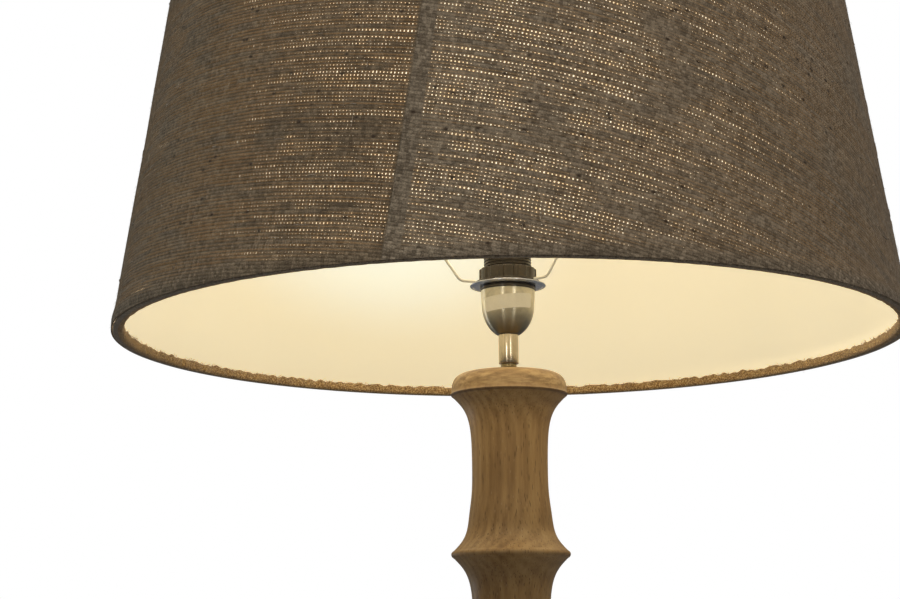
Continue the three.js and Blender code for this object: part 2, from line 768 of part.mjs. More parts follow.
// ---------------------------------------------------------------- assembly

function piece(parent, name, geometry, material) {
  const mesh = new THREE.Mesh(geometry, material);
  mesh.name = name;
  parent.add(mesh);
  return mesh;
}

function groupAt(parent, z) {
  const group = new THREE.Group();
  group.position.z = z;
  parent.add(group);
  return group;
}

const lamp = new THREE.Group();

const stand = groupAt(lamp, 0);
piece(stand, "felt_pad", bar(FELT_R, 0, FOOT_Z, FOOT_FLATS), blackFelt());
piece(stand, "wood_foot", footGeometry(), warmWood());
piece(stand, "ballast_plate", ballastGeometry(), castIron());
ballastScrewPlaces().forEach((place, i) => {
  const screw = countersunkScrew(
    BALLAST_SCREW_HEAD_R,
    BALLAST_SCREW_SHANK_R,
    BALLAST_SCREW_HEAD_HEIGHT,
    BALLAST_SCREW_LENGTH,
  );
  piece(stand, `ballast_screw_${i + 1}`, screw, zincSteel()).position.copy(place);
});
piece(stand, "cord_grommet", grommetGeometry(), blackRubber());
piece(stand, "wood_column", columnGeometry(), warmWood());

piece(stand, "threaded_rod", sleeve(ROD_BORE_R, ROD_R, ROD_BOTTOM_Z, ROD_TOP_Z), zincSteel());
const washer = sleeve(ROD_CLEARANCE_R, WASHER_R, 0, WASHER_THICKNESS);
piece(stand, "base_washer", washer, zincSteel()).position.z = WASHER_Z;
const baseNut = hexNut(BASE_NUT_FLATS, ROD_CLEARANCE_R, BASE_NUT_THICKNESS);
piece(stand, "base_nut", baseNut, zincSteel()).position.z = WASHER_Z - GAP - BASE_NUT_THICKNESS;
piece(stand, "neck_collar", collarGeometry(), antiqueBrass()).position.z = COLLAR_Z;
const neckTube = sleeve(ROD_CLEARANCE_R, NECK_R, COLLAR_Z + COLLAR_HEIGHT + GAP, HOLDER_Z - GAP);
piece(stand, "neck_tube", neckTube, brightSteel());

const holder = groupAt(lamp, HOLDER_Z);
piece(holder, "lampholder_cup", cupGeometry(), antiqueBrass());
const cupNut = hexNut(CUP_NUT_FLATS, ROD_CLEARANCE_R, CUP_NUT_THICKNESS);
piece(holder, "cup_nut", cupNut, zincSteel()).position.z = CUP_FLOOR + GAP;
piece(holder, "rating_label", labelGeometry(), labelPaper());
piece(holder, "lampholder_insert", insertGeometry(), whiteCeramic());
[-1, 1].forEach((side, i) => {
  const screw = piece(holder, `terminal_screw_${i + 1}`, terminalScrewGeometry(), contactBrass());
  screw.position.set(side * TERMINAL_SCREW_RING_R, 0, INSERT_BOTTOM);
});
piece(holder, "centre_contact", centreContactGeometry(), contactBrass());
const shellBottom = INSERT_TOP + GAP;
const shell = sleeve(SCREW_SHELL_BORE_R, SCREW_SHELL_R, shellBottom, shellBottom + SCREW_SHELL_HEIGHT);
piece(holder, "contact_shell", shell, contactBrass());
piece(holder, "lampholder_skirt", skirtGeometry(), brownPlastic());

const shade = groupAt(lamp, RIM_Z);
piece(shade, "shade_cover", skinGeometry(0, COVER_WALL), linen());
piece(shade, "shade_lining", skinGeometry(COVER_WALL + GAP, LINING_WALL), creamLaminate());
piece(shade, "shade_rim_hoop", hoopGeometry(RIM_WIRE_HEIGHT), zincSteel());
piece(shade, "shade_top_hoop", hoopGeometry(TOP_WIRE_HEIGHT), creamEnamel());
piece(shade, "rim_hem", rimHemGeometry(), linen());
piece(shade, "top_hem", topHemGeometry(), linen());
for (let i = 0; i < ARM_COUNT; i += 1) {
  const arm = piece(shade, `carrier_arm_${i + 1}`, armGeometry(), creamEnamel());
  arm.rotation.z = radians(FIRST_ARM_DEG + (i * 360) / ARM_COUNT);
}
const carrier = groupAt(lamp, PLATE_Z);
piece(carrier, "carrier_plate", plateGeometry(), zincSteel());

const ringNut = groupAt(lamp, RING_NUT_Z);
piece(ringNut, "shade_ring_nut", ringNutGeometry(), brownPlastic());

const bulb = groupAt(lamp, BULB_Z);
piece(bulb, "bulb_contact", bulbContactGeometry(), contactBrass());
piece(bulb, "bulb_insulator", bulbInsulatorGeometry(), brownPlastic());
piece(bulb, "bulb_cap", bulbCapGeometry(), brightSteel());
piece(bulb, "bulb_globe", globeGeometry(), opalGlass());

export default lamp;
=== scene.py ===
"""The table lamp's looks: smooth turned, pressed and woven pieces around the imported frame.

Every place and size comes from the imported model's boxes or from a named value below, in metres.
The lamp stands on z = 0 with its axis on +Z, and its front faces -Y.
"""

import math

import bmesh
import bpy
import numpy as np
from mathutils import Matrix, Vector


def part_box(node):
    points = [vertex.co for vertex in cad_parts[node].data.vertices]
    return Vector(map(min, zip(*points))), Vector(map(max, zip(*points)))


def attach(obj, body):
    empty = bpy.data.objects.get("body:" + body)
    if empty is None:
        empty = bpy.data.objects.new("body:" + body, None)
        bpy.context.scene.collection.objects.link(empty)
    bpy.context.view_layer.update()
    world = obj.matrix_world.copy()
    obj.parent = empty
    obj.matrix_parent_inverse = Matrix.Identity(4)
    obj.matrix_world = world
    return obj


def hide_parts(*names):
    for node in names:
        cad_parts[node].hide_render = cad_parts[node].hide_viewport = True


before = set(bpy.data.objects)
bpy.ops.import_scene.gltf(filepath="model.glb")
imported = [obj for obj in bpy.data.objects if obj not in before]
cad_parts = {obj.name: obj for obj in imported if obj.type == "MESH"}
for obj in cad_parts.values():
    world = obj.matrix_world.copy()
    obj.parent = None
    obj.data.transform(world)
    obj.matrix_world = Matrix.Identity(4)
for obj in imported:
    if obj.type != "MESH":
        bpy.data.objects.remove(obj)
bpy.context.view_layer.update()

MM = 0.001
TURN = 2 * math.pi
GAP = 0.3 * MM  # left between pieces that touch
ROD_CLEARANCE_R = 5.3 * MM
HOOP_WIRE_R = 1.9 * MM

# ---------------------------------------------------------------- places read from the frame


def bottom(node):
    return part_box(node)[0].z


def top(node):
    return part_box(node)[1].z


def mid_height(node):
    return (bottom(node) + top(node)) / 2


def reach(node):
    """Largest radius of a piece turned about the lamp's axis."""
    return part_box(node)[1].x


RIM_Z = bottom("rim_hem")
CROWN_Z = top("top_hem")
SHADE_HEIGHT = CROWN_Z - RIM_Z
RIM_R = reach("rim_hem")
HEM_FOLD = 1.2 * MM
TAPER = (RIM_R - reach("top_hem")) / (SHADE_HEIGHT - HEM_FOLD)
SLOPE = math.atan(TAPER)
APEX_Z = RIM_Z + RIM_R / TAPER
HEAD_Z = top("wood_column")
FOOT_TOP_Z = top("wood_foot")
CUP_Z = bottom("lampholder_cup")
CUP_TOP_Z = top("lampholder_cup")
PLATE_Z = bottom("carrier_plate")
PLATE_TOP_Z = top("carrier_plate")
NUT_Z = bottom("shade_ring_nut")
NUT_TOP_Z = top("shade_ring_nut")
SKIRT_TOP_Z = top("lampholder_skirt")
GLOBE_TOP_Z = top("bulb_globe")
GLOBE_R = 30 * MM
GLOBE_Z = GLOBE_TOP_Z - GLOBE_R

# ---------------------------------------------------------------- shader arithmetic


class Value:
    """The output of a shader node. Arithmetic on it adds Math nodes."""

    def __init__(self, tree, socket):
        self.tree = tree
        self.socket = socket

    def math(self, operation, *others):
        node = self.tree.nodes.new("ShaderNodeMath")
        node.operation = operation
        for socket, value in zip(node.inputs, (self, *others)):
            plug(self.tree, value, socket)
        return Value(self.tree, node.outputs[0])

    def __add__(self, other):
        return self.math("ADD", other)

    def __sub__(self, other):
        return self.math("SUBTRACT", other)

    def __mul__(self, other):
        return self.math("MULTIPLY", other)

    def __truediv__(self, other):
        return self.math("DIVIDE", other)

    def __neg__(self):
        return self.math("MULTIPLY", -1.0)

    def floor(self):
        return self.math("FLOOR")

    def centred(self):
        """Distance from the middle of the unit cell that this number is in, from -0.5 to 0.5."""
        return self.math("FRACT") - 0.5

    def size(self):
        return self.math("ABSOLUTE")

    def step(self, low, high):
        """0 below low and 1 above high, with a smooth change between them."""
        node = self.tree.nodes.new("ShaderNodeMapRange")
        node.interpolation_type = "SMOOTHSTEP"
        plug(self.tree, self, node.inputs["Value"])
        plug(self.tree, low, node.inputs["From Min"])
        plug(self.tree, high, node.inputs["From Max"])
        return Value(self.tree, node.outputs["Result"])

    def spread(self, low, high):
        """Takes 0 to 1 to the range from low to high."""
        return self * (high - low) + low


def plug(tree, value, socket):
    if isinstance(value, Value):
        tree.links.new(value.socket, socket)
    elif isinstance(value, tuple) and len(value) == 3 and socket.type == "RGBA":
        socket.default_value = (*value, 1.0)
    else:
        socket.default_value = value


class Shader:
    """A Principled material that is built up from texture and arithmetic nodes."""

    def __init__(self, name, **settings):
        self.material = bpy.data.materials.new(name)
        self.material.use_nodes = True
        self.tree = self.material.node_tree
        self.surface = self.tree.nodes["Principled BSDF"]
        self.set(**settings)
        place = self.tree.nodes.new("ShaderNodeTexCoord")
        self.place = Value(self.tree, place.outputs["Object"])
        split = self.tree.nodes.new("ShaderNodeSeparateXYZ")
        plug(self.tree, self.place, split.inputs[0])
        self.x, self.y, self.z = (Value(self.tree, socket) for socket in split.outputs)

    def set(self, **settings):
        """Sets the surface's inputs. base_color is the input called Base Color, and so on."""
        for name, value in settings.items():
            words = name.replace("_", " ").title().replace("Ior", "IOR")
            plug(self.tree, value, self.surface.inputs[words])

    def point(self, x=0.0, y=0.0, z=0.0):
        node = self.tree.nodes.new("ShaderNodeCombineXYZ")
        for socket, value in zip(node.inputs, (x, y, z)):
            plug(self.tree, value, socket)
        return Value(self.tree, node.outputs[0])

    def stretched(self, sx, sy, sz):
        return self.point(self.x * sx, self.y * sy, self.z * sz)

    def radius(self):
        return (self.x * self.x + self.y * self.y).math("SQRT")

    def noise(self, place=None, scale=1.0, detail=2.0, roughness=0.5):
        node = self.tree.nodes.new("ShaderNodeTexNoise")
        plug(self.tree, place or self.place, node.inputs["Vector"])
        node.inputs["Scale"].default_value = scale
        node.inputs["Detail"].default_value = detail
        node.inputs["Roughness"].default_value = roughness
        return Value(self.tree, node.outputs[0])

    def dice(self, place):
        """A random number for each whole-number place."""
        node = self.tree.nodes.new("ShaderNodeTexWhiteNoise")
        plug(self.tree, place, node.inputs["Vector"])
        return Value(self.tree, node.outputs["Value"])

    def cells(self, place, scale=1.0):
        """Distance to the nearest of a scatter of points."""
        node = self.tree.nodes.new("ShaderNodeTexVoronoi")
        plug(self.tree, place, node.inputs["Vector"])
        node.inputs["Scale"].default_value = scale
        return Value(self.tree, node.outputs["Distance"])

    def blend(self, factor, first, second, kind="MIX"):
        node = self.tree.nodes.new("ShaderNodeMix")
        node.data_type = "RGBA"
        node.blend_type = kind
        plug(self.tree, factor, node.inputs["Factor"])
        plug(self.tree, first, node.inputs[6])
        plug(self.tree, second, node.inputs[7])
        return Value(self.tree, node.outputs[2])

    def shade(self, colour, amount):
        """A colour made lighter or darker by a number that is 1 where nothing changes."""
        return self.blend(1.0, colour, self.grey(amount), "MULTIPLY")

    def grey(self, amount):
        node = self.tree.nodes.new("ShaderNodeCombineColor")
        for socket in node.inputs:
            plug(self.tree, amount, socket)
        return Value(self.tree, node.outputs[0])

    def ramp(self, value, stops):
        node = self.tree.nodes.new("ShaderNodeValToRGB")
        plug(self.tree, value, node.inputs[0])
        elements = node.color_ramp.elements
        while len(elements) < len(stops):
            elements.new(0.5)
        for element, (place, colour) in zip(elements, stops):
            element.position = place
            element.color = (*colour, 1.0)
        return Value(self.tree, node.outputs[0])

    def relief(self, height, depth, strength=1.0):
        """Bumps of a real depth, for a height from 0 to 1."""
        node = self.tree.nodes.new("ShaderNodeBump")
        node.inputs["Strength"].default_value = strength
        node.inputs["Distance"].default_value = depth
        plug(self.tree, height, node.inputs["Height"])
        self.set(normal=Value(self.tree, node.outputs[0]))


# ---------------------------------------------------------------- materials: cloth

WEFT_PITCH = 2.65 * MM
WARP_PITCH = 2.8 * MM
LINEN = (0.122, 0.094, 0.064)
LINEN_DARK = (0.052, 0.036, 0.022)
LINEN_LIGHT = (0.250, 0.200, 0.142)
KNOT = (0.030, 0.019, 0.011)
SEAM_DEG = (-15.75, 20.5)  # front seam: azimuth at the rim, and degrees gained in each metre up
PANEL_HALF_DEG = 90.0
WARP_SWAY = [(0.22, 41.0, 23.0), (0.12, 97.0, -61.0)]  # share of the pitch, and waves along and up
SEAM_BAND = 5.5 * MM  # closely woven edge on each side of a seam
PANELS = {
    # name: (azimuth of its middle, azimuth where its weft is level), in degrees from the front
    "left": (-105.75, -78.0),
    "right": (74.25, -88.0),
}


def linen_cover(name, centre_deg, level_deg, glow_and_tint):
    """Coarse slubby linen with light showing through between its threads.

    Its threads follow the flat cloth: the shade's cone is unrolled about its apex.
    """
    shader = Shader(name, roughness=0.92, sheen_weight=0.12, sheen_roughness=0.5)
    shader.set(sheen_tint=(0.75, 0.70, 0.62), specular_ior_level=0.12)
    centre = math.radians(centre_deg)
    forward = shader.x * math.sin(centre) - shader.y * math.cos(centre)
    sideways = shader.x * math.cos(centre) + shader.y * math.sin(centre)
    azimuth = sideways.math("ARCTAN2", forward)
    turn = (azimuth + math.radians(centre_deg - level_deg)) * math.sin(SLOPE)
    slant = (-shader.z + APEX_Z) * (1 / math.cos(SLOPE))
    along = slant * turn.math("SINE")
    up = -(slant * turn.math("COSINE"))
    height = shader.z - RIM_Z

    sway = shader.noise(shader.point(along * 30, up * 90)) - 0.5
    weft = up / WEFT_PITCH + sway * 0.5
    warp = along / WARP_PITCH
    for swing, k_along, k_up in WARP_SWAY:
        warp = warp + (along * k_along + up * k_up).math("SINE") * swing
    row = weft.floor()
    warp = warp + (shader.dice(shader.point(row, 11.0, 5.0)) - 0.5) * 0.44
    column = warp.floor()
    across_row = weft.centred()
    across_column = warp.centred()

    # Gaps between the threads. Every second row is more open, and gaps come in runs along a row.
    row_dice = shader.dice(shader.point(row, 3.0, 0.0))
    dot_dice = shader.dice(shader.point(row, column, 7.0))
    strong = (row * 0.5).centred().size() * 2.0
    row_open = row_dice * 0.55 + strong * 0.30 + 0.30
    runs = shader.noise(shader.point(along * 24, row * 7.13), detail=3.0).step(0.26, 0.58)
    patches = shader.noise(shader.point(along * 15, up * 22, 4.0), detail=3.0).step(0.26, 0.46)
    from_rim = height.step(3 * MM, 13 * MM)
    from_crown = (-height + SHADE_HEIGHT).step(4 * MM, 16 * MM)
    lean = (height * SEAM_DEG[1] * -1.0).math("RADIANS") + azimuth
    from_seam = (-(lean.size()) + math.radians(PANEL_HALF_DEG)) * shader.radius()
    away = from_seam.step(SEAM_BAND, SEAM_BAND + 2 * MM) * from_rim * from_crown
    open_share = row_open * runs.spread(0.25, 1.0) * patches.spread(0.2, 1.0)
    open_share = open_share * dot_dice.spread(0.55, 1.12) * away * (height + 0.84)
    half_wide = open_share * 0.10 + 0.115
    half_high = open_share * 0.36
    gap_wide = (half_wide - across_column.size()).step(-0.05, 0.05)
    gap_high = (half_high - across_row.size()).step(0.02, 0.08)
    gap = gap_wide * gap_high

    # Threads: the weft lies as rounded rows, which the warp crosses over and under.
    weft_round = (across_row * TURN).math("COSINE") * 0.5 + 0.5
    warp_round = (across_column * TURN).math("COSINE") * 0.5 + 0.5
    over = ((row + column) * 0.5).centred().size() * 2.0
    threads = weft_round * (over * -0.5 + 1.0) * 0.6 + warp_round * over * 0.4
    fibre = shader.noise(shader.point(along * 900, up * 1500), detail=3.0, roughness=0.7)
    fluff = shader.noise(scale=800.0, detail=2.0, roughness=0.7)

    # Colour: each thread has its own tone, with dark knots and cloudy wear.
    stitch_dice = shader.dice(shader.point(row, column, 2.0))
    streak = shader.noise(shader.point(along * 22, row * 3.7, 2.0), detail=2.0)
    warp_streak = shader.noise(shader.point(column * 2.9, up * 16.0, 9.0), detail=2.0)
    tone = stitch_dice * 0.16 + streak * 0.20 + warp_streak * 0.10 + fibre * 0.54
    colour = shader.ramp(
        tone.step(0.24, 0.72), [(0.0, LINEN_DARK), (0.5, LINEN), (1.0, LINEN_LIGHT)]
    )
    clouds = shader.noise(shader.point(along * 9, up * 12, 6.0), detail=3.0)
    colour = shader.shade(colour, clouds.spread(0.76, 1.24))
    # Painted shade: darker in the valleys between the rounded threads, lighter on their crowns.
    colour = shader.shade(colour, threads.spread(0.74, 1.20))
    blotches = shader.noise(scale=300.0, detail=3.0, roughness=0.6)
    colour = shader.shade(colour, blotches.spread(0.62, 1.38))
    colour = shader.shade(colour, fluff.spread(0.30, 1.70))
    # Painted glow: light that soaks through beside the gaps is painted into the thread as a warm colour,
    # stronger on the left panel. Painted shade: the left panel is also darker and browner, though both panels
    # are the same cloth.
    painted_glow = (-(across_row.size()) + half_high + 0.10).step(-0.12, 0.14) * runs * patches * away
    colour = shader.blend(painted_glow * (0.30 + 0.14 * glow_and_tint), colour, (0.36, 0.20, 0.07))
    colour = shader.blend(glow_and_tint, colour, (0.79, 0.73, 0.65), "MULTIPLY")
    knots = shader.cells(shader.point(along * 60, up * 95, 1.0)).step(0.04, 0.18)
    colour = shader.blend(knots, KNOT, colour)
    shader.set(base_color=colour, alpha=-gap + 1.0)
    shader.relief(threads * 0.6 + fibre * 0.6 + fluff * 0.3, 0.8 * MM, 1.0)
    return shader.material


def linen_fold():
    """Linen on the outside of the folded edges, with no light through it, painted lighter than the cover's
    linen for undersides that the lights don't reach.
    """
    shader = Shader("linen_fold", roughness=0.95, sheen_weight=0.25, sheen_roughness=0.5)
    shader.set(specular_ior_level=0.15)
    threads = shader.noise(scale=620.0, detail=3.0, roughness=0.65)
    clouds = shader.noise(scale=60.0, detail=2.0)
    colour = shader.ramp(threads, [(0.3, LINEN_DARK), (0.5, LINEN), (0.72, LINEN_LIGHT)])
    # Painted light: the noise lightens this linen to between 1.1 and 1.9 times its colour.
    shader.set(base_color=shader.shade(colour, clouds.spread(1.1, 1.9)))
    shader.relief(threads, 0.8 * MM)
    return shader.material


def lamp_lit_fold():
    """The raw inner edge of the fold, painted gold for the lamp's light shining through its fibres: a lit
    copy of the linen.
    """
    shader = Shader("lamp_lit_fold", roughness=0.95, sheen_weight=0.3, sheen_roughness=0.5)
    shader.set(specular_ior_level=0.1)
    threads = shader.noise(scale=700.0, detail=4.0, roughness=0.7)
    clouds = shader.noise(scale=90.0, detail=3.0)
    colour = shader.ramp(
        threads, [(0.36, (0.11, 0.05, 0.014)), (0.5, (0.33, 0.19, 0.066)), (0.64, (0.68, 0.48, 0.22))]
    )
    shader.set(base_color=shader.shade(colour, clouds.spread(0.65, 1.2)))
    shader.relief(threads, 1.6 * MM)
    return shader.material


def laminate(name, strength):
    """Cream lining sheet with a painted glow: its emission stands for the lamp's light that it spreads."""
    shader = Shader(name, roughness=0.45, specular_ior_level=0.3)
    mottle = shader.noise(scale=14.0, detail=3.0)
    grain = shader.noise(scale=1500.0, detail=2.0)
    colour = shader.blend(mottle, (0.87, 0.80, 0.63), (0.90, 0.84, 0.68))
    shader.set(base_color=colour, roughness=grain.spread(0.38, 0.55), emission_strength=strength)
    shader.relief(grain, 0.05 * MM, 0.3)
    return shader


def laminate_inside():
    """The lining's inner face, lit by a painted glow that is brightest behind the bulb."""
    shader = laminate("laminate_inside", 0.5)
    glow, dim = (0.80, 0.95, 0.92), (0.69, 0.605, 0.415)
    across = shader.x + 110 * MM
    rise = shader.z - (GLOBE_Z + 45 * MM)
    away = (across * across * 0.35 + rise * rise).math("SQRT").step(20 * MM, 125 * MM)
    behind = shader.y.step(0.0, 0.2)
    shader.set(emission_color=shader.blend((-away + 1.0) * behind, dim, glow))
    return shader.material


def laminate_outside():
    """The lining's back, which is seen only through the gaps between the threads. It glows with painted
    light, uneven in patches.
    """
    shader = laminate("laminate_outside", 1.42)
    glow, dim = (1.0, 0.86, 0.62), (0.78, 0.54, 0.28)
    uneven = shader.noise(scale=170.0, detail=2.0)
    shader.set(emission_color=shader.blend(uneven.step(0.32, 0.62), dim, glow))
    return shader.material


def speckled(name, scale, rough, dark, light, depth, **settings):
    """A fine speckle that is relief too, such as felt's fibres or a casting's pits."""
    shader = Shader(name, **settings)
    specks = shader.noise(scale=scale, detail=4.0, roughness=rough)
    shader.set(base_color=shader.ramp(specks, [(0.3, dark), (0.7, light)]))
    shader.relief(specks, depth)
    return shader.material


def felt():
    dark, light = (0.018, 0.018, 0.017), (0.075, 0.073, 0.07)
    looks = {"roughness": 1.0, "sheen_weight": 0.3, "sheen_roughness": 0.6}
    return speckled("felt_cloth", 1200.0, 0.75, dark, light, 0.5 * MM, **looks)


# ---------------------------------------------------------------- materials: wood

RIDGE_PITCH = 132 * MM
CREASE_Z = HEAD_Z - 17 * MM
RIDGES = [CREASE_Z - i * RIDGE_PITCH for i in range(4)]


def turned_wood(name, edges, head_z=None):
    """Oiled hardwood cut through along the grain: streaks, fine pores and paler lines along its edges."""
    shader = Shader(name, coat_weight=0.06, coat_roughness=0.35, specular_ior_level=0.35)
    wander = (shader.noise(scale=5.0) - 0.5) * 0.03
    off_axis = shader.point(shader.x + wander + 0.055, shader.y - 0.03 + wander, 0.0)
    length = shader.tree.nodes.new("ShaderNodeVectorMath")
    length.operation = "LENGTH"
    plug(shader.tree, off_axis, length.inputs[0])
    rings = (Value(shader.tree, length.outputs["Value"]) * 900.0).math("SINE") * 0.5 + 0.5
    figure = shader.noise(shader.stretched(26, 26, 3.5), detail=4.0, roughness=0.6)
    grain = shader.noise(shader.stretched(260, 260, 14), detail=3.0, roughness=0.6)
    fine = shader.noise(shader.stretched(1100, 1100, 60), detail=2.0)
    tone = figure * 0.46 + grain * 0.34 + fine * 0.12 + rings * 0.08
    colour = shader.ramp(
        tone,
        [
            (0.28, (0.150, 0.078, 0.030)),
            (0.40, (0.235, 0.138, 0.056)),
            (0.50, (0.310, 0.192, 0.080)),
            (0.62, (0.380, 0.248, 0.110)),
            (0.76, (0.460, 0.325, 0.160)),
        ],
    )
    pores = shader.cells(shader.stretched(620, 620, 75)).step(0.10, 0.30)
    colour = shader.blend(pores.spread(0.35, 1.0), (0.055, 0.028, 0.013), colour)
    flecks = shader.cells(shader.stretched(330, 330, 110)).step(0.05, 0.20)
    colour = shader.blend(flecks.spread(0.55, 1.0), (0.38, 0.27, 0.15), colour)
    if head_z is not None:
        # The head is nearly flat, so it shows the grain lying down, with short splits above its edge.
        lying = shader.noise(shader.stretched(42, 150, 270), detail=4.0, roughness=0.65)
        on_head = shader.z.step(head_z, head_z + 3 * MM)
        lying_tone = shader.ramp(
            lying, [(0.32, (0.17, 0.098, 0.040)), (0.48, (0.285, 0.180, 0.078)), (0.64, (0.44, 0.300, 0.140))]
        )
        splits = shader.cells(shader.stretched(300, 300, 42)).step(0.05, 0.16)
        splits = splits.math("MAXIMUM", shader.z.step(head_z + 5 * MM, head_z + 8 * MM))
        lying_tone = shader.blend(splits, (0.10, 0.055, 0.026), lying_tone)
        colour = shader.blend(on_head * 0.85, colour, lying_tone)
        # Painted shade: a dark line just under the head's edge.
        painted_shade_under_edge = -((shader.z - (head_z - 1.7 * MM)).size().step(0.5 * MM, 1.5 * MM)) + 1.0
        colour = shader.blend(painted_shade_under_edge * 0.6, colour, (0.075, 0.042, 0.022))
    # Paler lines along the ridges' edges, in broken patches.
    pale_edges = None
    for edge in edges:
        line = -((shader.z - edge).size().step(0.3 * MM, 1.3 * MM)) + 1.0
        pale_edges = line if pale_edges is None else pale_edges.math("MAXIMUM", line)
    notches = shader.noise(shader.stretched(170, 170, 170), detail=2.0).step(0.38, 0.56)
    colour = shader.blend(pale_edges * notches * 0.5, colour, (0.32, 0.215, 0.11))
    shader.set(base_color=colour, roughness=grain.spread(0.42, 0.62))
    shader.relief(pores * 0.5 + grain * 0.35 + fine * 0.15, 0.25 * MM, 0.6)
    return shader.material


# ---------------------------------------------------------------- materials: metal and the rest


def brushed(name, colour, dark, roughness=0.3, lines=9000.0, low=None, high=None):
    """Satin metal brushed round the lamp's axis. low and high: heights over which a painted reflection,
    darker towards the bottom, fades out.
    """
    shader = Shader(name, metallic=1.0, anisotropic=0.95, anisotropic_rotation=0.25)
    tangent = shader.tree.nodes.new("ShaderNodeTangent")
    tangent.direction_type = "RADIAL"
    tangent.axis = "Z"
    shader.set(tangent=Value(shader.tree, tangent.outputs[0]))
    brush = shader.noise(shader.stretched(40, 40, lines), detail=2.0)
    cloud = shader.noise(scale=120.0, detail=3.0)
    metal = shader.blend(cloud.step(0.35, 0.75) * 0.35, colour, dark)
    # Painted reflection: darker towards the bottom, for the dark surroundings that the lower metal reflects.
    if low is not None:
        metal = shader.blend(shader.z.step(low, high), dark, metal)
    shader.set(base_color=metal, roughness=brush.spread(roughness * 0.75, roughness * 1.3))
    shader.relief(brush, 0.02 * MM, 0.5)
    return shader.material


def drawn(name, colour, dark, roughness):
    """Smooth drawn tube with faint lines along the lamp's axis."""
    shader = Shader(name, metallic=1.0)
    lines = shader.noise(shader.stretched(2200, 2200, 6), detail=2.0)
    cloud = shader.noise(scale=90.0, detail=2.0)
    shader.set(base_color=shader.blend((lines * 0.6 + cloud * 0.4).step(0.35, 0.7), dark, colour))
    shader.set(roughness=lines.spread(roughness * 0.8, roughness * 1.25))
    return shader.material


def moulded(name, colour, light, roughness=0.4, grain_depth=0.05 * MM):
    """Moulded plastic, rubber or glaze with a fine skin and faint wear."""
    shader = Shader(name)
    skin = shader.noise(scale=1600.0, detail=2.0)
    cloud = shader.noise(scale=110.0, detail=3.0)
    shader.set(base_color=shader.blend(cloud.step(0.4, 0.8), colour, light))
    shader.set(roughness=skin.spread(roughness * 0.8, roughness * 1.25))
    shader.relief(skin, grain_depth, 0.5)
    return shader.material


def cast_iron():
    dark, light = (0.03, 0.03, 0.032), (0.11, 0.11, 0.115)
    return speckled("cast_iron_paint", 500.0, 0.7, dark, light, 0.4 * MM, roughness=0.7, metallic=0.3)


def label_paper():
    shader = Shader("label_paper_sheet", roughness=0.5)
    fibres = shader.noise(scale=1500.0, detail=3.0)
    cloud = shader.noise(scale=160.0, detail=2.0)
    paper = shader.blend(cloud, (0.93, 0.86, 0.70), (0.98, 0.92, 0.78))
    shader.set(base_color=shader.shade(paper, fibres.spread(0.9, 1.1)))
    shader.relief(fibres, 0.04 * MM, 0.4)
    return shader.material


def opal_glass():
    shader = Shader("opal_glass", roughness=0.25)
    haze = shader.noise(scale=40.0, detail=2.0)
    shader.set(base_color=shader.blend(haze, (0.92, 0.88, 0.8), (0.96, 0.93, 0.86)))
    shader.set(emission_color=(1.0, 0.80, 0.50), emission_strength=6.0)
    return shader.material


def studio_floor():
    shader = Shader("studio_floor", roughness=0.7)
    mottle = shader.noise(scale=1.5, detail=3.0)
    shader.set(base_color=shader.blend(mottle, (0.62, 0.62, 0.61), (0.66, 0.66, 0.65)))
    return shader.material


# ---------------------------------------------------------------- mesh making


def grid_faces(rows, columns, first=0, wrap_rows=False, wrap_columns=False):
    """Quads over a grid of points stored row by row."""
    row = np.arange(rows if wrap_rows else rows - 1)[:, None]
    column = np.arange(columns if wrap_columns else columns - 1)[None, :]
    next_row = (row + 1) % rows
    next_column = (column + 1) % columns
    corners = [
        row * columns + column,
        row * columns + next_column,
        next_row * columns + next_column,
        next_row * columns + column,
    ]
    return (np.stack(corners, axis=-1).reshape(-1, 4) + first).tolist()


def make_piece(name, points, faces, materials, body, slot, replaces=(), sharp_deg=35.0):
    """A closed mesh, smooth but for its sharp edges, that rides on a body."""
    mesh = bpy.data.meshes.new(name)
    mesh.from_pydata([tuple(p) for p in points], [], faces)
    work = bmesh.new()
    work.from_mesh(mesh)
    bmesh.ops.remove_doubles(work, verts=work.verts, dist=1e-7)
    bmesh.ops.recalc_face_normals(work, faces=work.faces)
    work.to_mesh(mesh)
    work.free()
    for material in materials:
        mesh.materials.append(material)
    mesh.shade_smooth()
    mesh.set_sharp_from_angle(angle=math.radians(sharp_deg))
    piece = bpy.data.objects.new(name, mesh)
    bpy.context.scene.collection.objects.link(piece)
    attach(piece, body)
    if replaces:
        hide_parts(*replaces)
    return piece


def rounded(corners, steps=5):
    """Outline points from (radius, height, fillet) corners: each corner becomes an arc."""
    points = []
    count = len(corners)
    for i, (r, z, fillet) in enumerate(corners):
        here = np.array([r, z])
        before = np.array(corners[i - 1][:2]) - here
        after = np.array(corners[(i + 1) % count][:2]) - here
        if fillet <= 0:
            points.append(here)
            continue
        before /= np.linalg.norm(before)
        after /= np.linalg.norm(after)
        half = math.acos(max(-1.0, min(1.0, float(before @ after)))) / 2
        start = here + before * (fillet / math.tan(half))
        end = here + after * (fillet / math.tan(half))
        bisector = (before + after) / np.linalg.norm(before + after)
        centre = here + bisector * (fillet / math.sin(half))
        a0 = math.atan2(*(start - centre)[::-1])
        a1 = math.atan2(*(end - centre)[::-1])
        sweep = (a1 - a0 + math.pi) % TURN - math.pi
        for k in range(steps + 1):
            angle = a0 + sweep * k / steps
            points.append(centre + fillet * np.array([math.cos(angle), math.sin(angle)]))
    return points


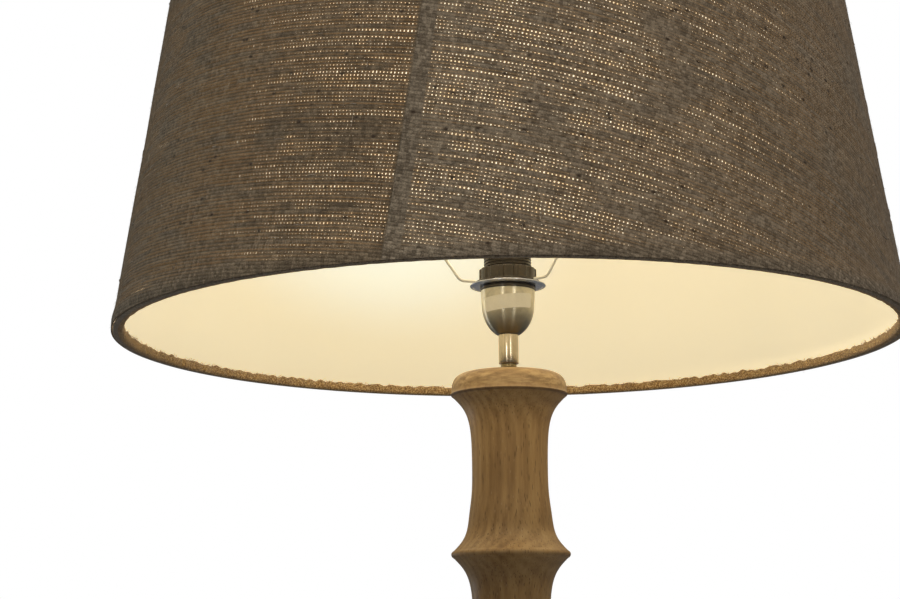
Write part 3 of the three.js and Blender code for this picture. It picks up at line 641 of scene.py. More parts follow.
def turned_points(outline, segments, wobble=None):
    """Points of an outline turned about +Z, one ring for each outline point."""
    angles = np.arange(segments) * TURN / segments
    rings = []
    for i, (r, z) in enumerate(outline):
        radii = np.full(segments, float(r))
        if wobble is not None:
            radii = radii + wobble(i, angles)
        rings.append(np.stack([radii * np.cos(angles), radii * np.sin(angles), np.full(segments, z)], axis=1))
    return np.concatenate(rings)


def turned(name, outline, material, body, slot, replaces=(), segments=96, wobble=None, **more):
    """A turned piece. Its outline closes on itself, or starts and ends on the axis."""
    points = turned_points(outline, segments, wobble)
    closes = outline[0][0] > 1e-9
    faces = grid_faces(len(outline), segments, wrap_rows=closes, wrap_columns=True)
    return make_piece(name, points, faces, [material], body, slot, replaces, **more)


def swept(path, radius, sides=16):
    """Points and faces of a round bar with closed ends along a path of points."""
    path = np.array(path, float)
    along = np.gradient(path, axis=0)
    along /= np.linalg.norm(along, axis=1)[:, None]
    side = np.cross(along[0], [0.0, 0.0, 1.0])
    if np.linalg.norm(side) < 1e-6:
        side = np.array([1.0, 0.0, 0.0])
    angles = np.arange(sides) * TURN / sides
    points = []
    for centre, direction in zip(path, along):
        side = side - direction * (side @ direction)
        side /= np.linalg.norm(side)
        other = np.cross(direction, side)
        ring = np.outer(np.cos(angles), side) + np.outer(np.sin(angles), other)
        points.append(centre + radius * ring)
    faces = grid_faces(len(path), sides, wrap_columns=True)
    faces.append(list(range(sides))[::-1])
    last = (len(path) - 1) * sides
    faces.append([last + k for k in range(sides)])
    return np.concatenate(points), faces


def cut_with(piece, cutters):
    """Cuts meshes out of a piece, and removes them."""
    for cutter in cutters:
        boolean = piece.modifiers.new("cut", "BOOLEAN")
        boolean.operation = "DIFFERENCE"
        boolean.solver = "EXACT"
        boolean.object = cutter
    done = bpy.data.meshes.new_from_object(
        piece.evaluated_get(bpy.context.evaluated_depsgraph_get())
    )
    piece.modifiers.clear()
    piece.data = done
    for cutter in cutters:
        bpy.data.objects.remove(cutter)


def cutter_bar(radius, start, end, sides=48):
    points, faces = swept([start, end], radius, sides)
    mesh = bpy.data.meshes.new("cutter")
    mesh.from_pydata([tuple(p) for p in points], [], faces)
    cutter = bpy.data.objects.new("cutter", mesh)
    bpy.context.scene.collection.objects.link(cutter)
    return cutter


# ---------------------------------------------------------------- camera and light


def make_camera():
    """At the viewing angle of the lamp's picture: below the rim, looking slightly up into the shade."""
    data = bpy.data.cameras.new("camera")
    data.lens = 69.4
    data.sensor_width = 36.0
    camera = bpy.data.objects.new("camera", data)
    camera.location = (-0.0485, -1.4235, RIM_Z - 0.2485)
    pitch = Matrix.Rotation(math.radians(90 + 11.29), 4, "X")
    roll = Matrix.Rotation(math.radians(-0.297), 4, "Z")
    camera.rotation_euler = (pitch @ roll).to_euler()
    bpy.context.scene.collection.objects.link(camera)
    bpy.context.scene.camera = camera


def area_light(name, place, target, size, power, colour):
    data = bpy.data.lights.new(name, "AREA")
    data.shape = "RECTANGLE"
    data.size, data.size_y = size
    data.energy = power
    data.color = colour
    light = bpy.data.objects.new(name, data)
    light.location = place
    light.rotation_euler = (Vector(target) - Vector(place)).to_track_quat("-Z", "Y").to_euler()
    bpy.context.scene.collection.objects.link(light)
    return light


def make_lights(cloth_pieces):
    # The column stands in the shade's shadow, so the lights on the cloth fall on the cloth only.
    cloth_lights = [
        area_light("key", (0.7, -2.3, 2.4), (0.0, 0.0, 0.66), (1.3, 1.0), 66.0, (1.0, 0.94, 0.85)),
        area_light("side", (-2.6, -1.0, 1.2), (0.0, 0.0, 0.66), (1.2, 1.2), 35.0, (0.86, 0.96, 1.0)),
        area_light("back", (0.6, 2.6, 1.8), (0.0, 0.0, 0.66), (1.4, 1.2), 40.0, (1.0, 0.95, 0.87)),
    ]
    area_light("window", (-2.6, -0.3, 0.95), (0.0, 0.0, 0.5), (0.5, 1.1), 0.2, (0.86, 0.92, 1.0))
    fill = area_light("fill", (1.3, -2.4, 0.75), (0.0, 0.0, 0.35), (0.9, 0.7), 2.6, (1.0, 0.94, 0.84))
    fill.visible_glossy = False
    # Strips that only the metal, the plastic and the glass reflect.
    strips = [
        area_light("strip", (0.096, -0.22, 0.5115), (0, 0, 0.5), (0.012, 0.067), 0.030, (1.0, 0.97, 0.92)),
        area_light(
            "strip_left", (-0.094, -0.22, 0.5035), (0, 0, 0.49), (0.02, 0.047), 0.028, (1.0, 0.96, 0.90)
        ),
        area_light("strip_low", (-1.25, 1.05, 0.16), (0.0, 0.0, 0.5), (0.4, 0.26), 1.5, (0.92, 0.96, 1.0)),
    ]
    for strip in strips:
        strip.visible_diffuse = False
        strip.visible_camera = False
    for light in cloth_lights:
        light.light_linking.receiver_collection = cloth_pieces
    above = (50 * MM, 0, RIM_Z + 20 * MM)
    glow = area_light("shade_glow", above, (50 * MM, 0, 0), (0.5, 0.5), 0.82, (1.0, 0.86, 0.60))
    glow.data.shape = "DISK"
    glow.visible_camera = False
    glow.visible_glossy = False
    data = bpy.data.lights.new("bulb_light", "POINT")
    data.energy = 0.25
    data.color = (1.0, 0.90, 0.70)
    data.shadow_soft_size = 0.02
    light = bpy.data.objects.new("bulb_light", data)
    light.location = (-12 * MM, 0.0, GLOBE_Z)
    bpy.context.scene.collection.objects.link(light)


def make_world():
    """White behind the lamp, and a soft studio gradient in its reflections and shade."""
    world = bpy.data.worlds.new("studio")
    bpy.context.scene.world = world
    world.use_nodes = True
    tree = world.node_tree
    tree.nodes.clear()
    kinds = ["TexCoord", "SeparateXYZ", "MapRange", "ValToRGB", "Background"]
    kinds += ["Background", "LightPath", "MixShader", "OutputWorld"]
    place, split, rise, ramp, soft, white, rays, mix, output = (
        tree.nodes.new(f"ShaderNode{kind}") for kind in kinds
    )
    rise.inputs["From Min"].default_value = -1.0
    ramp.color_ramp.elements[0].color = (0.03, 0.027, 0.024, 1.0)
    ramp.color_ramp.elements[1].color = (0.30, 0.31, 0.33, 1.0)
    ramp.color_ramp.elements.new(0.55).color = (0.09, 0.09, 0.09, 1.0)
    white.inputs["Color"].default_value = (1.0, 1.0, 1.0, 1.0)
    for start, end in [
        (place.outputs["Generated"], split.inputs[0]),
        (split.outputs["Z"], rise.inputs["Value"]),
        (rise.outputs["Result"], ramp.inputs[0]),
        (ramp.outputs[0], soft.inputs["Color"]),
        (rays.outputs["Is Camera Ray"], mix.inputs[0]),
        (soft.outputs[0], mix.inputs[1]),
        (white.outputs[0], mix.inputs[2]),
        (mix.outputs[0], output.inputs["Surface"]),
    ]:
        tree.links.new(start, end)
    bpy.context.scene.view_settings.view_transform = "Standard"


def make_floor():
    half = 9.0
    mesh = bpy.data.meshes.new("studio_floor")
    corners = [(-half, -half, 0), (half, -half, 0), (half, half, 0), (-half, half, 0)]
    mesh.from_pydata(corners, [], [(0, 1, 2, 3)])
    mesh.materials.append(studio_floor())
    floor = bpy.data.objects.new("studio_floor", mesh)
    floor.location.z = -0.2 * MM
    bpy.context.scene.collection.objects.link(floor)


# ---------------------------------------------------------------- wooden stand

WOOD_BORE_R = 5.5 * MM
FOOT_CREASE_Z = 18 * MM
GROMMET_FLANGE = 3 * MM  # thickness
TENON_R = 18 * MM
TENON_LENGTH = 10 * MM
CREASE_R = 47.2 * MM
DOME_POWER = 3


def column_radius(z):
    """A waist that widens down to ridges, which swell and fade on both sides under a low bead."""
    radius = 31 * MM
    for ridge in RIDGES:
        away = abs(z - ridge)
        radius += 24.3 * MM * math.exp(-math.hypot(away, 4 * MM) / (10.8 * MM))
        radius += 0.8 * MM * math.exp(-((away / (2.9 * MM)) ** 6))
        radius += 1.55 * MM * math.exp(-(((z - ridge - 31 * MM) / (16 * MM)) ** 2))
    return radius


def dome(flat_r, wide_r, crease_z, top_z, steps):
    """A quarter of a squared ellipse, from its widest line up to its flat top."""
    points = []
    for i in range(steps + 1):
        turn = i / steps * math.pi / 2
        across = math.cos(turn) ** (2 / DOME_POWER) if i < steps else 0.0
        up = math.sin(turn) ** (2 / DOME_POWER)
        points.append((flat_r + (wide_r - flat_r) * across, crease_z + (top_z - crease_z) * up))
    return points


def make_column(material):
    base = bottom("wood_column") + TENON_LENGTH
    outline = [(WOOD_BORE_R, base - TENON_LENGTH), (TENON_R, base - TENON_LENGTH), (TENON_R, base)]
    below_crease = CREASE_Z - 0.9 * MM
    heights = [base]
    while heights[-1] < below_crease:
        nearest = min(abs(heights[-1] - ridge) for ridge in RIDGES)
        step = 0.35 * MM if nearest < 4.5 * MM else 1.5 * MM
        heights.append(min(heights[-1] + step, below_crease))
    outline += [(column_radius(z), z) for z in heights]
    outline += dome(28 * MM, CREASE_R + 0.5 * MM, CREASE_Z, HEAD_Z, 28)
    outline.append((WOOD_BORE_R, HEAD_Z))
    turned("turned_column", outline, material, "stand", "wood", ["wood_column"], 160, sharp_deg=50)


def make_foot(material):
    foot_bottom = bottom("wood_foot")
    recess_r = reach("ballast_plate") + 0.5 * MM
    recess_top = top("ballast_plate") + GAP
    nut_recess_r = 22 * MM
    nut_recess_top = top("base_washer") + GAP
    under_r = reach("felt_pad") + 1 * MM
    foot_r = reach("wood_foot")
    crease_z = FOOT_CREASE_Z
    mortise_r = TENON_R + GAP
    mortise_z = bottom("wood_column") - GAP
    outline = [
        (WOOD_BORE_R, nut_recess_top),
        (nut_recess_r, nut_recess_top),
        (nut_recess_r, recess_top),
        (recess_r, recess_top),
        (recess_r, foot_bottom),
        (under_r - 0.8 * MM, foot_bottom),
        (under_r, foot_bottom + 0.8 * MM),
    ]
    lower_steps = 10
    for i in range(1, lower_steps + 1):
        share = i / lower_steps
        bulge = (foot_r - 0.3 * MM - under_r) * math.sin(share * math.pi / 2) ** 1.6
        rise = (crease_z - 1.3 * MM - foot_bottom) * share
        outline.append((under_r + bulge, foot_bottom + 0.8 * MM + rise))
    outline += dome(52 * MM, foot_r, crease_z + 0.6 * MM, FOOT_TOP_Z, 32)
    outline += [(mortise_r, FOOT_TOP_Z), (mortise_r, mortise_z), (WOOD_BORE_R, mortise_z)]
    foot = turned("turned_foot", outline, material, "stand", "wood", ["wood_foot"], 192, sharp_deg=50)
    grommet_low, grommet_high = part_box("cord_grommet")
    duct_z = mid_height("cord_grommet")
    flange_r = (grommet_high.z - grommet_low.z) / 2
    seat_y = grommet_high.y - GROMMET_FLANGE - GAP
    outside = foot_r + 6 * MM
    cutters = [
        cutter_bar(4 * MM, (0, nut_recess_r - 5 * MM, duct_z), (0, seat_y, duct_z)),
        cutter_bar(5.8 * MM, (0, grommet_low.y - GAP, duct_z), (0, outside, duct_z)),
        cutter_bar(flange_r + GAP, (0, seat_y, duct_z), (0, outside, duct_z)),
    ]
    for i in range(1, 4):
        low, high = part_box(f"ballast_screw_{i}")
        x, y = (low.x + high.x) / 2, (low.y + high.y) / 2
        cutters.append(cutter_bar(2.3 * MM, (x, y, low.z), (x, y, high.z + GAP), 24))
    cut_with(foot, cutters)


def make_felt(material):
    radius, thick = reach("felt_pad"), top("felt_pad")
    corners = [(0, 0, 0), (radius, 0, 0.5 * MM), (radius, thick, 0.7 * MM), (0, thick, 0)]
    turned("felt_disc", rounded(corners), material, "stand", "felt", ["felt_pad"], 192)


def make_grommet(material):
    """Moulded bush in the foot's rear that the cord would come out of, turned about its own axis."""
    low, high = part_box("cord_grommet")
    duct_z = mid_height("cord_grommet")
    flange_r = (high.z - low.z) / 2
    seat = high.y - GROMMET_FLANGE - low.y
    length = high.y - low.y
    corners = [
        (3.4 * MM, 0, 0.3 * MM),
        (5.5 * MM, 0, 0.5 * MM),
        (5.5 * MM, seat, 0.2 * MM),
        (flange_r, seat, 0.3 * MM),
        (flange_r - 0.6 * MM, length - 0.8 * MM, 0.8 * MM),
        (4.6 * MM, length, 0.6 * MM),
        (3.4 * MM, length - 0.8 * MM, 0.5 * MM),
    ]
    outline = rounded(corners)
    points = turned_points(outline, 64)
    points = np.stack([points[:, 0], low.y + points[:, 2], duct_z - points[:, 1]], axis=1)
    faces = grid_faces(len(outline), 64, wrap_rows=True, wrap_columns=True)
    make_piece("cord_bush", points, faces, [material], "stand", "grommet_rubber", ["cord_grommet"])


# ---------------------------------------------------------------- neck and lampholder


def make_neck(tube_material, collar_material):
    bore = ROD_CLEARANCE_R
    radius = reach("neck_tube")
    low, high = bottom("neck_tube"), top("neck_tube")
    corners = [
        (bore, low, 0.2 * MM),
        (radius, low, 0.5 * MM),
        (radius, high, 0.4 * MM),
        (bore, high, 0.2 * MM),
    ]
    turned("satin_neck_tube", rounded(corners), tube_material, "stand", "satin_nickel", ["neck_tube"])
    low, high = bottom("neck_collar"), top("neck_collar")
    foot, waist = reach("neck_collar"), 6.6 * MM
    corners = [
        (bore, low, 0),
        (foot, low, 0.4 * MM),
        (foot - 0.3 * MM, low + 3.4 * MM, 0.7 * MM),
        (waist, low + 4.6 * MM, 0.9 * MM),
        (waist, high, 0.2 * MM),
        (bore, high, 0),
    ]
    turned("waisted_collar", rounded(corners), collar_material, "stand", "antique_metal", ["neck_collar"])


CUP_BELLY = 25 * MM
CUP_BELLY_R = 22 * MM
CUP_CURVE = 28 * MM
CUP_WALL = 0.9 * MM
CUP_TOP_R = reach("lampholder_cup")


def cup_radius(height, inset=0.0):
    """Radius of the lampholder cup at a height above its underside."""
    if height >= CUP_BELLY:
        share = (height - CUP_BELLY) / (CUP_TOP_Z - CUP_Z - CUP_BELLY)
        return CUP_BELLY_R + (CUP_TOP_R - CUP_BELLY_R) * share - inset
    down = (CUP_BELLY - height) / (CUP_CURVE - inset)
    return (CUP_BELLY_R - inset) * math.sqrt(1 - down * down)


def make_cup(material):
    tall = CUP_TOP_Z - CUP_Z
    bore = ROD_CLEARANCE_R
    floor = 1 * MM
    steps = 40

    def wall(low, inset):
        """Points up one face of the wall, closer together near its foot."""
        heights = [low + (tall - low) * (i / steps) ** 1.5 for i in range(steps + 1)]
        return [(cup_radius(height, inset), height) for height in heights]

    outside, inside = wall(0.0, 0.0), wall(floor, CUP_WALL)[::-1]
    lip = [(CUP_TOP_R - CUP_WALL * share, tall) for share in (0.35, 0.65)]
    outline = [(bore, 0.0), *outside, *lip, *inside, (bore, floor)]
    outline = [(r, CUP_Z + z) for r, z in outline]
    turned("satin_cup", outline, material, "stand", "antique_metal", ["lampholder_cup"], 128, sharp_deg=40)


LABEL_DEG = (-149.0, -34.0)  # from +X, so that -90 is the front
LABEL_HIGH = 12 * MM
LABEL_TILT = math.radians(5.0)
LABEL_CENTRE = 24.6 * MM  # above the cup's underside
LABEL_THICK = 0.15 * MM


def make_label(material):
    """Blank paper label that hugs the cup, a little lower at its left end, with rounded corners."""
    columns, rows = 72, 14
    corner = 1.2 * MM
    start, end = (math.radians(a) for a in LABEL_DEG)
    half_long = (end - start) / 2 * CUP_BELLY_R
    layers = []
    for lift in (0.06 * MM, 0.06 * MM + LABEL_THICK):
        layer = []
        for j in range(rows):
            v = (j / (rows - 1) * 2 - 1) * LABEL_HIGH / 2
            inward = max(0.0, abs(v) - (LABEL_HIGH / 2 - corner))
            end_x = half_long - (corner - math.sqrt(max(0.0, corner**2 - inward**2)))
            for i in range(columns):
                u = (i / (columns - 1) * 2 - 1) * end_x
                turn = (start + end) / 2 + u / CUP_BELLY_R
                z = LABEL_CENTRE + v + math.sin(LABEL_TILT) * CUP_BELLY_R * math.cos(turn)
                r = cup_radius(z) + lift
                layer.append((r * math.cos(turn), r * math.sin(turn), CUP_Z + z))
        layers.append(layer)
    points = layers[0] + layers[1]
    faces = slab_faces(rows, columns)
    make_piece("blank_label", points, faces, [material], "stand", "label_paper", ["rating_label"])


def slab_faces(rows, columns):
    """Faces of a closed sheet: an inner grid, an outer grid after it, and the four edges."""
    count = rows * columns
    faces = grid_faces(rows, columns)
    faces += [face[::-1] for face in grid_faces(rows, columns, count)]
    edge = [(0, c) for c in range(columns)]
    edge += [(r, columns - 1) for r in range(1, rows)]
    edge += [(rows - 1, c) for c in range(columns - 2, -1, -1)]
    edge += [(r, 0) for r in range(rows - 2, 0, -1)]
    ring = [r * columns + c for r, c in edge]
    for a, b in zip(ring, ring[1:] + ring[:1]):
        faces.append([b, a, a + count, b + count])
    return faces


def make_skirt(material):
    """Threaded barrel with a true helical thread above the ring nut, a flange and a spigot."""
    segments = 120
    thread_r, root_r = 20 * MM, 18.9 * MM
    bore_r = 15.6 * MM
    spigot_r, spigot_bore_r = 20.6 * MM, 18.6 * MM
    pitch = 2.5 * MM
    flange_r = reach("lampholder_skirt")
    low = bottom("lampholder_skirt")
    flange_low = CUP_TOP_Z + GAP
    flange_top = PLATE_Z - GAP
    head = rounded(
        [
            (spigot_bore_r, low, 0.3 * MM),
            (spigot_r, low, 0.3 * MM),
            (spigot_r, flange_low, 0),
            (flange_r, flange_low, 0.5 * MM),
            (flange_r, flange_top, 0.5 * MM),
            (root_r, flange_top, 0),
            (root_r, SKIRT_TOP_Z, 0.8 * MM),
            (bore_r, SKIRT_TOP_Z, 0.6 * MM),
            (bore_r, flange_top, 1 * MM),
            (spigot_bore_r, flange_low, 0),
        ],
        4,
    )
    thread_low, thread_top = NUT_TOP_Z, SKIRT_TOP_Z - 1.2 * MM
    last_root = max(i for i, (r, z) in enumerate(head) if abs(r - root_r) < 1e-7 and z < thread_low)
    rings = 110
    barrel = [(root_r, thread_low + (thread_top - thread_low) * i / rings) for i in range(rings + 1)]
    outline = head[: last_root + 1] + barrel + head[last_root + 1 :]
    first = last_root + 1

    def thread(i, angles):
        if not first <= i < first + len(barrel):
            return 0.0
        z = outline[i][1]
        fade = min(1.0, (z - thread_low) / (1.5 * MM), (thread_top - z) / (1.5 * MM))
        share = (z / pitch - angles / TURN) % 1.0
        crest = np.clip(1.5 - 4.0 * np.abs(share - 0.5), 0.0, 1.0)
        return (thread_r - root_r) * max(0.0, fade) * crest * crest * (3 - 2 * crest)

    turned(
        "threaded_skirt", outline, material, "stand", "brown_plastic", ["lampholder_skirt"], segments, thread
    )


def make_ring_nut(material):
    """Grip ring with twelve lugs above a thin flange."""
    segments = 288
    lugs = 12
    bore, lug_r, dip = 20.3 * MM, 24 * MM, 1.3 * MM
    flange_r = reach("shade_ring_nut")
    flange_top = NUT_Z + 2.2 * MM
    outline = rounded(
        [
            (bore, NUT_Z, 0.3 * MM),
            (flange_r, NUT_Z, 0.5 * MM),
            (flange_r, flange_top, 0.7 * MM),
            (lug_r, flange_top, 0.4 * MM),
            (lug_r, NUT_TOP_Z, 1.0 * MM),
            (bore, NUT_TOP_Z, 0.6 * MM),
        ],
        5,
    )
    gripped = [r > bore + 2 * MM and z > flange_top + 0.1 * MM for r, z in outline]

    def grip(i, angles):
        if not gripped[i]:
            return 0.0
        share = (angles / TURN * lugs) % 1.0
        from_dip = np.abs(share - 0.5)
        return -dip * np.clip((0.22 - from_dip) / 0.10, 0.0, 1.0)

    turned(
        "grip_ring_nut", outline, material, "ring_nut", "brown_plastic", ["shade_ring_nut"], segments, grip
    )


def make_plate(material):
    """Pressed plate with a rolled edge and a shallow step round its hole."""
    radius = reach("carrier_plate")
    hole = 20.6 * MM
    corners = [
        (hole, PLATE_Z, 0.3 * MM),
        (radius - 3.2 * MM, PLATE_Z, 0.8 * MM),
        (radius - 2.2 * MM, PLATE_Z + 0.35 * MM, 0.6 * MM),
        (radius, PLATE_Z + 0.35 * MM, 0.4 * MM),
        (radius, PLATE_TOP_Z, 0.5 * MM),
        (hole, PLATE_TOP_Z, 0.3 * MM),
    ]
    turned("pressed_plate", rounded(corners, 5), material, "shade", "plate_steel", ["carrier_plate"], 144)


# ---------------------------------------------------------------- shade

COVER_WALL = 1.0 * MM
LINING_WALL = 0.8 * MM

def wall_radius(height):
    return RIM_R - TAPER * height


def on_cone(azimuth, height, inset):
    """A point at an azimuth from the front, a height above the rim and a depth inside the wall."""
    r = wall_radius(height) - inset
    return (r * np.sin(azimuth), -r * np.cos(azimuth), RIM_Z + height + 0 * r)


def smooth_ends(share):
    """Spaces rows more closely towards both ends."""
    return 0.5 - 0.5 * math.cos(share * math.pi)


def ease(height, azimuth):
    """How far the cloth stands out from the plain cone: it swells over the hoop and drifts a little."""
    swell = 1.3 * MM * np.exp(-(((height - 7 * MM) / (7 * MM)) ** 2))
    drift = 0.10 * MM * (
        np.sin(5 * azimuth + 31 * height)
        + np.sin(11 * azimuth - 47 * height + 1.3)
        + 0.6 * np.sin(23 * azimuth + 83 * height + 4.0)
    )
    return swell + drift


COVER_INSET = 0.05 * MM
CLOTH_THICK = 0.85 * MM
LAP = math.radians(0.9)


def make_panel(side, material):
    """One of the two cloth panels round the shade. The right one laps over the left at both seams."""
    middle, _ = PANELS[side]
    laps_over = side == "right"
    columns, rows = 260, 48
    low, high = 0.1 * MM, SHADE_HEIGHT - 0.1 * MM
    share = np.arange(columns) / (columns - 1)
    layers = {"inner": [], "outer": []}
    for j in range(rows):
        height = low + (high - low) * smooth_ends(j / (rows - 1))
        lean = SEAM_DEG[1] * height
        start = math.radians(middle - PANEL_HALF_DEG + lean) - (LAP if laps_over else 0.0)
        end = math.radians(middle + PANEL_HALF_DEG + lean) + (LAP if laps_over else 0.0)
        azimuth = start + (end - start) * share
        from_edge = np.minimum(share, 1 - share) * (end - start)
        lift = 0.97 * MM * (1 - np.clip((from_edge - 1.15 * LAP) / (0.5 * LAP), 0, 1)) if laps_over else 0.0
        inset = COVER_INSET - lift - ease(height, azimuth)
        layers["outer"] += zip(*on_cone(azimuth, height, inset))
        layers["inner"] += zip(*on_cone(azimuth, height, inset + CLOTH_THICK))
    points = layers["inner"] + layers["outer"]
    faces = slab_faces(rows, columns)
    return make_piece(f"shade_panel_{side}", points, faces, [material], "shade", "linen", ["shade_cover"])


def make_warp(side, material):
    """The warp yarns inside a panel: they run between the gaps and hide them from the side."""
    middle, level = PANELS[side]
    half = math.radians(PANEL_HALF_DEG)
    heights = np.linspace(2.5 * MM, SHADE_HEIGHT - 2.5 * MM, 16)
    slants = (RIM_R / TAPER - heights) / math.cos(SLOPE)
    leans = np.radians(middle + SEAM_DEG[1] * heights)
    edges = [leans[0] + s * half - math.radians(level) for s in (-1, 1)]
    ends = [slants[0] * math.sin(edge * math.sin(SLOPE)) for edge in edges]
    points, faces = [], []
    for k in range(math.floor(ends[0] / WARP_PITCH) - 8, math.ceil(ends[1] / WARP_PITCH) + 8):
        along = np.full(len(heights), k * WARP_PITCH)
        for _ in range(4):
            up = -np.sqrt(slants**2 - along**2)
            sway = sum(swing * np.sin(along * a + up * b) for swing, a, b in WARP_SWAY)
            along = (k - sway) * WARP_PITCH
        azimuth = np.arcsin(along / slants) / math.sin(SLOPE) + math.radians(level)
        inside = np.abs(azimuth - leans) < half - 0.8 * LAP
        if inside.sum() < 3:
            continue
        azimuth, height = azimuth[inside], heights[inside]
        inset = COVER_INSET - ease(height, azimuth)
        width = 0.55 * MM / wall_radius(height)
        sides = [(-1, 0.5), (0, 0.88), (1, 0.5), (0, 0.12)]
        ring = [np.stack(on_cone(azimuth + width * w, height, inset + CLOTH_THICK * d), 1) for w, d in sides]
        count = len(height)
        first = len(points)
        points += np.stack(ring, 1).reshape(-1, 3).tolist()
        faces += grid_faces(count, 4, first, wrap_columns=True)
        last = first + 4 * (count - 1)
        faces += [[first + 3, first + 2, first + 1, first], [last, last + 1, last + 2, last + 3]]
    return make_piece(f"warp_yarns_{side}", points, faces, [material], "shade", "linen")


def make_lining(inner_material, outer_material):
    """Cream laminate inside the cover, as one closed band."""
    columns, rows = 240, 24
    low, high = HEM_FOLD + GAP, SHADE_HEIGHT - HEM_FOLD - GAP
    outer_inset = COVER_WALL + GAP
    points = []
    for inset in (outer_inset + LINING_WALL, outer_inset):
        for j in range(rows):
            height = low + (high - low) * j / (rows - 1)
            for i in range(columns):
                points.append(on_cone(i / columns * TURN, height, inset))
    count = rows * columns
    faces = grid_faces(rows, columns, 0, wrap_columns=True)
    inner_count = len(faces)
    faces += [face[::-1] for face in grid_faces(rows, columns, count, wrap_columns=True)]
    for row in (0, rows - 1):
        for i in range(columns):
            a, b = row * columns + i, row * columns + (i + 1) % columns
            faces.append([a, b, b + count, a + count])
    lining = make_piece(
        "shade_laminate", points, faces, [inner_material, outer_material], "shade", "lining", ["shade_lining"]
    )
    for face in lining.data.polygons[inner_count:]:
        face.material_index = 1
    return lining


def make_hoops(material):
    for name, node in (("rim_hoop_wire", "shade_rim_hoop"), ("top_hoop_wire", "shade_top_hoop")):
        centre_z = mid_height(node)
        centre_r = reach(node) - HOOP_WIRE_R
        turns = [k * TURN / 16 for k in range(16)]
        ring = [(HOOP_WIRE_R * math.cos(turn), HOOP_WIRE_R * math.sin(turn)) for turn in turns]
        outline = [(centre_r + across, centre_z + up) for across, up in ring]
        turned(name, outline, material, "shade", "cream_enamel", [node], 240)


def ragged(azimuth, seed):
    """Uneven height of a raw cloth edge, from -1 to 1, with a few high tufts."""
    dice = np.random.RandomState(seed)
    waves = 26
    counts = dice.randint(5, 190, waves)
    phases = dice.uniform(0, TURN, waves)
    wave = sum(np.sin(counts[k] * azimuth + phases[k]) for k in range(waves)) / math.sqrt(waves)
    return np.clip(wave, -1.4, 2.6)


def make_hem(name, node, at_rim, cloth, lamp_lit_linen):
    """Cloth folded round a hoop: an outer face, a rounded fold and a ragged inner leg."""
    columns = 1400
    azimuths = np.arange(columns) * TURN / columns
    tall = ragged(azimuths, 4 if at_rim else 9)
    puff = ragged(azimuths + 1.7, 6 if at_rim else 11)
    lumps = np.random.RandomState(5 if at_rim else 8).uniform(-1, 1, (24, columns))
    lumps = (lumps + np.roll(lumps, 1, 1) + np.roll(lumps, -1, 1) + np.roll(lumps, 1, 0)) / 2.4
    hoop = "shade_rim_hoop" if at_rim else "shade_top_hoop"
    leg_r = reach(hoop) - 2 * HOOP_WIRE_R - 2 * GAP
    sign = 1.0 if at_rim else -1.0
    edge_z = RIM_Z if at_rim else CROWN_Z
    outer_r = RIM_R if at_rim else wall_radius(SHADE_HEIGHT)
    leg = 7.6 * MM if at_rim else 3.4 * MM
    leg_swing = 0.8 * MM if at_rim else 0.25 * MM
    points, fold_rows = [], []
    # Across the fold, from the cover's face round the edge to the top of the inner leg and back.
    profile = [
        # (radius, height from the edge, share of the ragged height, share of the puffiness, painted lamp-lit
        # face)
        (outer_r - 1.2 * MM, 1.2 * MM, 0, 0, 0),
        (outer_r - 1.05 * MM, 0.4 * MM, 0, 0, 0),
        (outer_r - 1.3 * MM, -0.1 * MM, 0, 0.2, 0),
        (outer_r - 2.2 * MM, -0.35 * MM, 0, 0.3, 0),
        (leg_r + 2.2 * MM, -0.4 * MM, 0, 0.3, 0),
        (leg_r - 0.7 * MM, -0.2 * MM, 0, 0.5, 1),
        (leg_r - 1.8 * MM, 0.5 * MM, 0, 0.8, 1),
        (leg_r - 2.4 * MM, 1.6 * MM, 0, 1, 1),
        (leg_r - 2.5 * MM, leg * 0.35, 0.1, 1, 1),
        (leg_r - 2.3 * MM, leg * 0.5, 0.3, 1, 1),
        (leg_r - 2.1 * MM, leg * 0.65, 0.6, 1, 1),
        (leg_r - 1.8 * MM, leg * 0.8, 0.8, 1, 1),
        (leg_r - 1.4 * MM, leg * 0.92, 0.95, 0.9, 1),
        (leg_r - 0.8 * MM, leg * 1.0, 1, 0.6, 1),
        (leg_r - 0.3 * MM, leg * 0.97, 1, 0, 1),
        (leg_r - 0.12 * MM, leg * 0.85, 0.9, 0, 1),
        (leg_r - 0.1 * MM, leg * 0.4, 0.3, 0, 1),
        (leg_r - 0.1 * MM, 1.6 * MM, 0, 0, 1),
        (leg_r + 1.0 * MM, 1.2 * MM, 0, 0, 0),
    ]
    for i, (r, h, tall_share, puff_share, is_lamp_lit) in enumerate(profile):
        radii = r - (puff * 0.28 + lumps[i] * 0.30) * puff_share * MM
        heights = edge_z + sign * (h + tall * tall_share * leg_swing - puff * puff_share * 0.1 * MM)
        points.append(np.stack([radii * np.sin(azimuths), -radii * np.cos(azimuths), heights], axis=1))
        fold_rows.append(is_lamp_lit)
    faces = grid_faces(len(profile), columns, wrap_rows=True, wrap_columns=True)
    hem = make_piece(
        name, np.concatenate(points), faces, [cloth, lamp_lit_linen], "shade", "linen", [node], sharp_deg=80
    )
    for k, face in enumerate(hem.data.polygons):
        row = k // columns
        face.material_index = fold_rows[row] if fold_rows[row] == fold_rows[(row + 1) % len(profile)] else 1
    return hem


